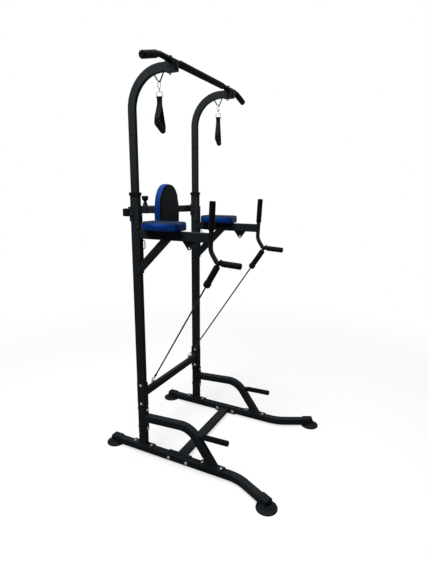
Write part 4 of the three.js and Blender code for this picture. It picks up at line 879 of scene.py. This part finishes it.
def fold(built, width, length, origin, across, outward):
    # a plate folded round a tube, its folds rounded, as long as given
    inner = width / 2 + bent["gap"]
    outer = inner + bent["plate"]
    top = bent["gap"] + bent["plate"]
    bend = bent["plate"] * 0.8
    outline = [(-outer, -bent["wing"]), (-inner, -bent["wing"]), (-inner, bent["gap"]), (inner, bent["gap"]),
               (inner, -bent["wing"]), (outer, -bent["wing"])]
    for centre, start in ((outer - bend, 0), (bend - outer, 90)):
        for i in range(7):
            angle = math.radians(start + 15 * i)
            outline.append((centre + bend * math.cos(angle), top - bend + bend * math.sin(angle)))
    slab(built, outline, origin, across, outward, length, bent["edge"])


def makePushHandle(side, sign):
    x = sign * columns
    corners = [spot(x, -y, z) for y, z in push["corners"]]
    foot = corners[2].z
    corners[2] = corners[2] + (corners[2] - corners[1]).normalized() * push["size"]
    built = bmesh.new()
    loops = tubeLoops(push["size"], push["size"], bent["corner"], bent["wall"])
    sweep(built, routeOf(corners, [push["bend"]], bent["steps"]), (1, 0, 0), loops)
    everything = built.verts[:] + built.edges[:] + built.faces[:]
    floorLevel = (0, 0, foot - bent["gap"])
    bmesh.ops.bisect_plane(built, geom=everything, plane_co=floorLevel, plane_no=(0, 0, 1), clear_inner=True)
    fold(built, 0.025, push["bracket"], spot(x, -0.025, push["wallLevel"]), (1, 0, 0), (0, -1, 0))
    fold(built, rail["size"], push["bracket"], spot(x, -push["footSetback"], 0.047), (1, 0, 0), (0, 0, 1))
    stoodFor = [f"{side}_push_up_handle"]
    piece = settle(f"{side}_push_up_tube", built, finishes["paint"], "frame", stoodFor)
    steadyFaces(piece)


def makeCrossbar():
    level = crossbar["level"]
    (end, endY), (inner, innerY) = crossbar["end"], crossbar["inner"]
    outer = crossbar["outer"]
    corners = [(-end, endY), (-outer, endY), (-inner, innerY), (inner, innerY), (outer, endY),
               (end, endY)]
    built = bmesh.new()
    loops = tubeLoops(rail["size"], rail["size"], bent["corner"], bent["wall"])
    route = routeOf([spot(x, y, level) for x, y in corners], [crossbar["bend"]] * 4, 14)
    sweep(built, route, (0, 0, 1), loops)
    ahead = Vector((0, 1, 0))
    sleeve = [(spot(0, y, level), ahead) for y in crossbar["sleeveEnds"]]
    sweep(built, sleeve, (1, 0, 0), [boxOf(crossbar["sleeve"], crossbar["sleeve"], bent["corner"], 6),
                                    boxOf(crossbar["bore"], crossbar["bore"], bent["corner"] - 0.001, 6)])
    base = spot(0, crossbar["knob"], level + crossbar["sleeve"] / 2)
    housing = [(0.0045, -0.0005), (0.015, -0.0005), (0.015, 0.0034), (0.0141, 0.0052),
               (0.0086, 0.022), (0.0078, 0.0236), (0.007, 0.024), (0.0045, 0.024),
               (0.0045, 0.021), (0.0065, 0.021), (0.0065, 0.002), (0.0045, 0.002),
               (0.0045, -0.0005)]
    turned(built, housing, base, (0, 0, 1), 48)
    torus(built, base + Vector((0, 0, 0.0002)), (0, 0, 1), 0.0153, 0.0011, 48, 10)
    for sign in sides.values():
        ear = spot(sign * columns, 0.025, crossbar["earLevel"])
        fold(built, 0.025, crossbar["ear"], ear, (1, 0, 0), (0, 1, 0))
    steadyFaces(settle("backrest_bar", built, finishes["paint"], "frame", ["backrest_crossbar"]))


for side, sign in sides.items():
    makeRail(side, sign)
    makeMast(side, sign)
    makePushHandle(side, sign)
makeCrossbar()
print("bent tubes made")


# Round steel and foam of the handles

def foamSleeve(built, start, end, radius, bore, closed=True, fillet=0.004):
    # a foam sleeve over a tube, its mouth at start; a closed one has a rounded nose at its end
    start, end = Vector(start), Vector(end)
    length = (end - start).length
    profile = [(bore, 0.0004), (bore + 0.0006, 0), (radius - 0.0012, 0), (radius - 0.0003, 0.0005),
               (radius, 0.0015)]
    for share in (0.15, 0.3, 0.45, 0.6, 0.75, 0.88):
        profile.append((radius, 0.0015 + (length - fillet - 0.0015) * share))
    for i in range(7):
        turn = math.pi / 2 * i / 6
        profile.append((radius - fillet * (1 - math.cos(turn)), length - fillet * (1 - math.sin(turn))))
    profile.append((0, length + 0.0004) if closed else (bore, length))
    turned(built, profile, start, end - start, 56)


def makeDipHandle(side, sign):
    corners = [spot(sign * x, y, z) for x, y, z in handle["corners"]]
    stations = routeOf(corners, handle["radii"])
    built = bmesh.new()
    loops = [circleOf(handle["radius"]), circleOf(handle["radius"] - handle["wall"])]
    sweep(built, stations, (sign, 0, 0), loops)
    settle(f"{side}_dip_handle_tube", built, finishes["paint"], "frame", [f"{side}_dip_handle"])
    gripGap = 0.0043
    for name, root, tip, first in (("vertical_grip", 1, 0, (1.242 - 1.149) / 0.219),
                                   ("forward_grip", 2, 3, (0.471 - 0.445) / 0.115)):
        low, high = corners[root], corners[tip]
        built = bmesh.new()
        nose = high + (high - low).normalized() * gripGap
        foamSleeve(built, low.lerp(high, first), nose, 0.0145, 0.0112)
        settle(f"{side}_{name}_foam", built, finishes["foam"], "frame", [f"{side}_{name}"])


def makePushGrip(side, sign):
    low, high = spot(sign * 0.295, -0.325, 0.1935), spot(sign * 0.295, -0.508, 0.2005)
    heading = (high - low).normalized()
    built = bmesh.new()
    foamSleeve(built, low.lerp(high, 0.043 / 0.183), high + heading * 0.0043, 0.0145, 0.0112)
    settle(f"{side}_push_up_foam", built, finishes["foam"], "frame", [f"{side}_push_up_grip"])
    built = bmesh.new()
    loops = [circleOf(0.0112)]
    sweep(built, [(low + heading * 0.012, heading), (low.lerp(high, 0.3), heading)], (sign, 0, 0), loops)
    settle(f"{side}_push_up_stub", built, finishes["paint"], "frame")


bar = {"setback": 0.215, "level": 1.971, "bend": 0.382, "tip": 0.5, "drop": 0.034, "radius": 0.0125,
       "foam": 0.016, "foamEnd": 0.221}


def makePullUpBar():
    y, level = -bar["setback"], bar["level"]
    ends = [(-bar["tip"], level - bar["drop"]), (-bar["bend"], level), (bar["bend"], level),
            (bar["tip"], level - bar["drop"])]
    corners = [spot(x, y, z) for x, z in ends]
    built = bmesh.new()
    loops = [circleOf(bar["radius"]), circleOf(bar["radius"] - 0.0015)]
    sweep(built, routeOf(corners, [0.07, 0.07]), (0, 1, 0), loops)
    for sign in sides.values():
        boltCap(built, spot(sign * 0.295, y, level + bar["radius"] - 0.0008), (0, 0, 1))
    settle("pull_up_tube", built, finishes["paint"], "masts", ["pull_up_bar"])
    built = bmesh.new()
    foamEnds = [spot(way * bar["foamEnd"], y, level) for way in (-1, 1)]
    foamSleeve(built, *foamEnds, bar["foam"], 0.0127, closed=False, fillet=0.0015)
    settle("centre_foam", built, finishes["foam"], "masts", ["bar_centre_grip"])
    bend = math.atan2(bar["drop"], bar["tip"] - bar["bend"])
    for side, sign in sides.items():
        inner, outer = (corners[2], corners[3]) if sign > 0 else (corners[1], corners[0])
        heading = (outer - inner).normalized()
        first = inner + heading * (0.07 * math.tan(bend / 2) + 0.0155)
        built = bmesh.new()
        foamSleeve(built, first, outer + heading * 0.0043, bar["foam"], 0.0127, fillet=0.005)
        settle(f"{side}_tip_foam", built, finishes["foam"], "masts", [f"{side}_bar_tip_grip"])


def boltCap(built, base, axis, radius=0.0068, height=0.0052):
    # a domed head on its washer
    rim = radius + 0.001
    profile = [(0, 0.0001), (rim, 0), (rim, 0.0009), (radius, 0.0013), (radius, 0.0024),
               (radius * 0.93, 0.0034), (radius * 0.78, height * 0.82), (radius * 0.55, height * 0.96),
               (radius * 0.3, height), (0, height)]
    turned(built, profile, base, axis, 32)


for side, sign in sides.items():
    makeDipHandle(side, sign)
    makePushGrip(side, sign)
makePullUpBar()
print("handles made")


# Bolts and nuts, bright over the plain CAD heads

def makeBolts():
    seat = 0.0033  # outside of a bracket plate from the tube's face
    half = 0.0535
    for side, sign in sides.items():
        bright, dark = bmesh.new(), bmesh.new()
        x = sign * 0.295

        def head(place, axis, group=bright):
            boltCap(group, spot(*place) - unit(axis) * 0.0001, axis)

        def nut(place, axis):
            base = spot(*place) - unit(axis) * 0.0001
            turned(bright, [(0, 0), (0.0098, 0), (0.0098, 0.001), (0, 0.001)], base, axis, 32)
            hexNut(bright, base + unit(axis) * 0.001, axis, 0.0084, 0.0056)
            tip = [(0, 0.006), (0.0038, 0.006), (0.0038, 0.0085), (0.0032, 0.0091), (0, 0.0091)]
            turned(bright, tip, base, axis, 20)

        inward = (-sign, 0, 0)
        for shift in (-half, half):
            head((x, 0.005 + shift, 0.047 + seat), (0, 0, 1))
            head((x + sign * 0.0125, 0, 0.346 + shift), (sign, 0, 0))
            nut((x - sign * (0.0125 + seat), 0, 0.346 + shift), inward)
            nut((x, 0.025, 0.2025 + shift), (0, 1, 0))
            head((x, -0.025 - seat, 0.2025 + shift), (0, -1, 0))
            head((x, shift - 0.4195, 0.047 + seat), (0, 0, 1))
            head((x + sign * 0.019, -0.225 + shift, 0.028), (sign, 0, 0))
            nut((x - sign * (0.019 + seat), -0.225 + shift, 0.028), inward)
        for way in (-1, 1):
            face = x + way * (0.0125 + seat)
            head((face, 0.014, 1.3), (way, 0, 0), dark)
            head((face, -0.02, 1.239), (way, 0, 0), dark)
        head((x, -0.025 - seat, 1.297), (0, -1, 0), dark)
        settle(f"{side}_bolts", bright, finishes["zinc"], "frame", smooth=35)
        settle(f"{side}_clamp_bolt", dark, finishes["paint"], "frame", smooth=35)


makeBolts()
print("bolts set")


# Pads: a stuffed cover swollen by a cloth simulation, with piping along its seams

armPad = {"width": 0.11, "length": 0.204, "low": 1.2308, "thickness": 0.043, "rear": 0.059}
backPad = {"width": 0.205, "top": 1.454, "bottom": 1.19, "front": -0.01, "thickness": 0.04}
cloth = {"voxel": 0.004, "shrink": 0.0015, "cap": 0.006, "pressure": 4.0, "frames": 20}


def roundedPoint(angle, halfWidth, halfHeight, power):
    c, s = math.cos(angle), math.sin(angle)
    reach = (abs(c) ** power + abs(s) ** power) ** (-1 / power)
    return halfWidth * c * reach, halfHeight * s * reach


def armOutline(angle, inset=0.0):
    return roundedPoint(angle, armPad["width"] / 2 - inset, armPad["length"] / 2 - inset, 12)


def backOutline(angle, inset=0.0):
    half = backPad["width"] / 2
    middle = backPad["bottom"] + half
    upper = math.sin(angle) > 0
    height = backPad["top"] - middle if upper else half
    return roundedPoint(angle, half - inset, height - inset, 2.4 if upper else 4.5)


def padShell(name, outline, thickness, place, sides=96):
    # the cover before stuffing: its own outline with rounded rims, a little smaller than the pad
    inset = cloth["shrink"]
    rim = 0.0055
    rings = []
    built = bmesh.new()
    levels = []
    for i in range(7):
        turn = math.pi / 2 * i / 6
        levels.append((rim * (1 - math.sin(turn)), rim * (1 - math.cos(turn))))
    top = thickness - inset
    layers = [(inset + back, height) for back, height in levels]
    layers += [(inset + back, top - height) for back, height in reversed(levels)]
    for back, height in layers:
        turns = [2 * math.pi * i / sides for i in range(sides)]
        rings.append([built.verts.new(place(*outline(turn, back), height)) for turn in turns])
    for low, high in zip(rings, rings[1:]):
        for i in range(sides):
            j = (i + 1) % sides
            built.faces.new((low[i], low[j], high[j], high[i]))
    built.faces.new(rings[0][::-1])
    built.faces.new(rings[-1])
    bmesh.ops.recalc_face_normals(built, faces=built.faces)
    mesh = bpy.data.meshes.new(name)
    built.to_mesh(mesh)
    built.free()
    pad = bpy.data.objects.new(name, mesh)
    bpy.context.scene.collection.objects.link(pad)
    return pad


def stuff(pad, heldBack, low, high):
    # heldBack tells the points that the pad's board holds; low and high bound the whole pad
    remesh = pad.modifiers.new("remesh", "REMESH")
    remesh.mode = "VOXEL"
    remesh.voxel_size = cloth["voxel"]
    applied(pad)
    before = [v.co.copy() for v in pad.data.vertices]
    held = pad.vertex_groups.new(name="held")
    held.add([v.index for v in pad.data.vertices if heldBack(v.co)], 1.0, "REPLACE")
    sim = pad.modifiers.new("cloth", "CLOTH")
    sim.settings.quality = 5
    sim.settings.mass = 0.4
    sim.settings.tension_stiffness = 18
    sim.settings.compression_stiffness = 18
    sim.settings.bending_stiffness = 2.0
    sim.settings.use_pressure = True
    sim.settings.uniform_pressure_force = cloth["pressure"]
    sim.settings.vertex_group_mass = "held"
    sim.settings.effector_weights.gravity = 0
    sim.collision_settings.use_collision = False
    sim.point_cache.frame_start = 1
    sim.point_cache.frame_end = cloth["frames"]
    for number in range(1, cloth["frames"] + 1):
        bpy.context.scene.frame_set(number)
    applied(pad)
    for vertex, start in zip(pad.data.vertices, before):
        move = vertex.co - start
        if move.length > cloth["cap"]:
            vertex.co = start + move.normalized() * cloth["cap"]
    bpy.context.scene.frame_set(1)
    for vertex in pad.data.vertices:
        vertex.co = Vector(min(max(c, a), b) for c, a, b in zip(vertex.co, low, high))
    built = bmesh.new()
    built.from_mesh(pad.data)
    for _ in range(2):
        bmesh.ops.smooth_vert(built, verts=built.verts, factor=0.5,
                              use_axis_x=True, use_axis_y=True, use_axis_z=True)
    built.to_mesh(pad.data)
    built.free()
    for face in pad.data.polygons:
        face.use_smooth = True
    pad.modifiers.new("rounder", "SUBSURF").levels = 1
    pad.modifiers["rounder"].render_levels = 1
    applied(pad)


def piping(name, pad, outline, place, height, radius, inside, material, body):
    # a cord sewn in along the rim: each point lies where a line from outside meets the pad
    tree = BVHTree.FromPolygons([v.co for v in pad.data.vertices], [f.vertices for f in pad.data.polygons])
    built = bmesh.new()
    count = 160
    centre = place(0, 0, height)
    rings = []
    points = []
    for i in range(count):
        angle = 2 * math.pi * i / count
        outer = place(*outline(angle, -0.02), height)
        hit = tree.ray_cast(outer, (place(*outline(angle, 0.03), height) - outer).normalized())[0]
        points.append(hit + (centre - hit).normalized() * inside)
    for i in range(count):
        ahead = (points[(i + 1) % count] - points[i - 1]).normalized()
        out = (points[i] - centre).normalized()
        up = ahead.cross(out).normalized()
        out = up.cross(ahead)
        rings.append([built.verts.new(points[i] + (out * math.cos(t) + up * math.sin(t)) * radius)
                      for t in (2 * math.pi * k / 10 for k in range(10))])
    for low, high in zip(rings, rings[1:] + rings[:1]):
        for k in range(10):
            n = (k + 1) % 10
            built.faces.new((low[k], high[k], high[n], low[n]))
    return settle(name, built, material, body)


def makeArmPad(side, sign):
    middle = -armPad["rear"] - armPad["length"] / 2

    def place(u, v, height):
        return spot(sign * 0.295 + u, middle + v, armPad["low"] + height)

    low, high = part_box(f"{side}_arm_pad")
    pad = padShell(f"{side}_forearm_pad", armOutline, armPad["thickness"], place)
    stuff(pad, lambda p: p.z < armPad["low"] + 0.004, low, high)
    seam = armPad["low"] + armPad["thickness"] - 0.007
    pad.data.materials.append(padVinyl(f"{side}ArmVinyl", "Z", seam, 1, vinyl["armTop"]))
    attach(pad, "frame")
    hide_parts(f"{side}_arm_pad")
    piping(f"{side}_forearm_piping", pad, armOutline, place, seam - armPad["low"], 0.0016, 0.0008,
           finishes["piping"], "frame")


def makeBackPad():
    middle = backPad["bottom"] + backPad["width"] / 2

    def place(u, v, height):
        return spot(u, backPad["front"] + backPad["thickness"] - height, middle + v)

    low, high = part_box("back_pad")
    pad = padShell("backrest_pad", backOutline, backPad["thickness"], place)
    rear = high.y
    stuff(pad, lambda p: p.y > rear - 0.004, low, high)
    seam = low.y + 0.008
    pad.data.materials.append(padVinyl("backVinyl", "Y", -seam, -1, vinyl["backFace"]))
    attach(pad, "backrest")
    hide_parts("back_pad")
    piping("backrest_piping", pad, backOutline, place, rear - seam, 0.0017, 0.0008,
           finishes["piping"], "backrest")


for side, sign in sides.items():
    makeArmPad(side, sign)
makeBackPad()
print("pads stuffed")


# Knob that frees the backrest's slide

knobShape = {
    "place": (0, 0.159, 1.332),  # the middle of the sleeve's top; the outlines are (radius, height) above it
    "pin": [(0, -0.008), (0.0034, -0.008), (0.0039, -0.0075), (0.0039, 0.0024), (0.0058, 0.0026),
            (0.0058, 0.0052), (0.0039, 0.0054), (0.0039, 0.0184), (0.0052, 0.0188), (0.0052, 0.0245),
            (0, 0.0245)],
    "head": [(0, 0.0241), (0.0062, 0.024), (0.0082, 0.0248), (0.0118, 0.029), (0.0162, 0.0342),
             (0.0184, 0.0382), (0.0184, 0.051), (0.0179, 0.053), (0.0164, 0.0547), (0.0138, 0.0554),
             (0.0112, 0.0555), (0, 0.0553)],
}


def makeKnob():
    base = spot(*knobShape["place"])
    head, neck = bmesh.new(), bmesh.new()
    turned(neck, knobShape["pin"], base, (0, 0, 1))
    turned(head, knobShape["head"], base, (0, 0, 1), 56)
    settle("knob_head", head, finishes["plastic"], "knob", ["pull_knob"])
    settle("knob_pin", neck, finishes["zinc"], "knob")


makeKnob()


# Handles hanging under the masts, drawn about the bottom of their ring eye

hang = {"reach": 0.295, "hookTurn": -25, "strapTurn": 20, "tilt": 11}


def hangingFrame(side, turn):
    joint = next(j for j in frame["joints"] if j["name"] == f"{side}_hook_swing")
    return Matrix.Translation(Vector(joint["pos_m"])) @ Matrix.Rotation(math.radians(turn), 4, "Z")


def placed(built, matrix):
    bmesh.ops.transform(built, matrix=matrix, verts=built.verts)
    return built


def makeHook(side):
    middle, radius, half = -0.0096, 0.007, 0.008
    built = bmesh.new()
    points = [Vector((radius, 0, -0.006)), Vector((radius, 0, middle + half))]
    for i in range(1, 13):
        turn = math.pi * i / 12
        points.append(Vector((radius * math.cos(turn), 0, middle + half + radius * math.sin(turn))))
    for i in range(13):
        turn = math.pi + math.pi * i / 12
        points.append(Vector((radius * math.cos(turn), 0, middle - half + radius * math.sin(turn))))
    points.append(Vector((radius, 0, -0.0172)))
    last = len(points) - 1
    tangents = [(points[min(i + 1, last)] - points[max(i - 1, 0)]).normalized() for i in range(last + 1)]
    sweep(built, list(zip(points, tangents)), (0, 1, 0), [circleOf(0.002, 16)])
    barrel = [(0, 0), (0.0036, 0.0001), (0.0045, 0.0009), (0.0045, 0.0028), (0.004, 0.0032), (0.0045, 0.0036),
              (0.0045, 0.0071), (0.0036, 0.0079), (0, 0.008)]
    turned(built, barrel, (0, 0, -0.0326), (0, 0, 1), 32)
    swing = math.radians(hang["strapTurn"] - hang["hookTurn"])
    eyeAxis = (-math.sin(swing), math.cos(swing), 0)
    torus(built, (0, 0, -0.0356), eyeAxis, 0.005, 0.002, 32, 14, along=(0, 0, 1))
    frameOf = hangingFrame(side, hang["hookTurn"])
    steel = finishes["bright_steel"]
    settle(f"{side}_spring_hook", placed(built, frameOf), steel, f"{side}_hook",
           [f"{side}_snap_hook"])
    built = bmesh.new()
    gate = [(0, 0), (0.0008, 0.0001), (0.0014, 0.0006), (0.0016, 0.0013), (0.0016, 0.0102),
            (0.0013, 0.0109), (0, 0.011)]
    turned(built, gate, (radius, 0, -0.0173), (0, 0, 1), 20)
    settle(f"{side}_hook_latch", placed(built, frameOf), steel, f"{side}_gate",
           [f"{side}_hook_gate"])


def makeRing(side):
    low, high, half, bend = -0.0635, -0.0362, 0.0131, 0.0116
    built = bmesh.new()
    corners = [(0, -half, low), (0, -half, high), (0, half, high), (0, half, low)]
    sweep(built, routeOf(corners, [bend, bend]), (1, 0, 0), [circleOf(0.002, 18)])
    turned(built, [(0, 0), (0.0017, 0), (0.002, 0.0003), (0.002, 0.0309), (0.0017, 0.0312), (0, 0.0312)],
           (0, -0.0156, low), (0, 1, 0), 18)
    settle(f"{side}_d_ring", placed(built, hangingFrame(side, hang["strapTurn"])), finishes["bright_steel"],
           f"{side}_hanging_strap", [f"{side}_strap_ring"])


def makeStrap(side):
    low, drop, width, thickness, knee = -0.0635, 0.1247, 0.024, 0.0025, 0.02
    tilt = math.radians(hang["tilt"])
    axis = Vector((math.cos(tilt), 0, -math.sin(tilt)))
    up = axis.cross(Vector((0, 1, 0)))
    middle = Vector((0, 0, low - drop))
    halfGrip = 0.056 + 0.0004 + thickness / 2
    built = bmesh.new()
    band = boxOf(width, thickness, thickness / 2.2, 3)
    for way in (-1, 1):
        inner = way * thickness / 2
        corners = [Vector((inner, 0, low - 0.0024)), Vector((inner, 0, low - drop * 0.24)),
                   middle + axis * way * halfGrip + up * knee, middle + axis * way * halfGrip]
        sweep(built, routeOf(corners, [width, knee / 2], 10), (0, 1, 0), [band])
        hem = middle + axis * way * halfGrip
        turned(built, [(0, -thickness / 2), (0.0114, -thickness / 2), (0.0119, 0), (0.0114, thickness / 2),
                       (0, thickness / 2)], hem, axis, 40)
    wrap = [(0.0024, -width / 2 + 0.0004), (0.0046, -width / 2), (0.0049, -width / 2 + 0.0005),
            (0.0049, width / 2 - 0.0005), (0.0046, width / 2), (0.0024, width / 2 - 0.0004),
            (0.0024, -width / 2 + 0.0004)]
    turned(built, wrap, (0, 0, low), (0, 1, 0), 40)
    turned(built, [(0, -halfGrip), (0.006, -halfGrip), (0.006, halfGrip), (0, halfGrip)], middle, axis, 24)
    frameOf = hangingFrame(side, hang["strapTurn"])
    settle(f"{side}_webbing", placed(built, frameOf), finishes["webbing"], f"{side}_hanging_strap",
           [f"{side}_strap"])
    grip = bmesh.new()
    half = 0.056
    profile = [(0.0064, -half), (0.0112, -half)]
    ribs = 26
    for i in range(ribs * 4 + 1):
        along = -half + 0.002 + (2 * half - 0.004) * i / (ribs * 4)
        end = min(1, (half - abs(along)) / 0.006)
        crown = 0.0138 - 0.0026 * (1 - math.sin(math.pi / 2 * end))
        profile.append((crown - 0.0005 * (1 - math.cos(2 * math.pi * i / 4)) / 2, along))
    profile += [(0.0112, half), (0.0064, half), (0.0064, -half)]
    turned(grip, profile, middle, axis, 48)
    settle(f"{side}_hand_grip", placed(grip, frameOf), finishes["foam"], f"{side}_turning_grip",
           [f"{side}_strap_grip"])


for side in sides:
    makeHook(side)
    makeRing(side)
    makeStrap(side)
print("hanging handles made")
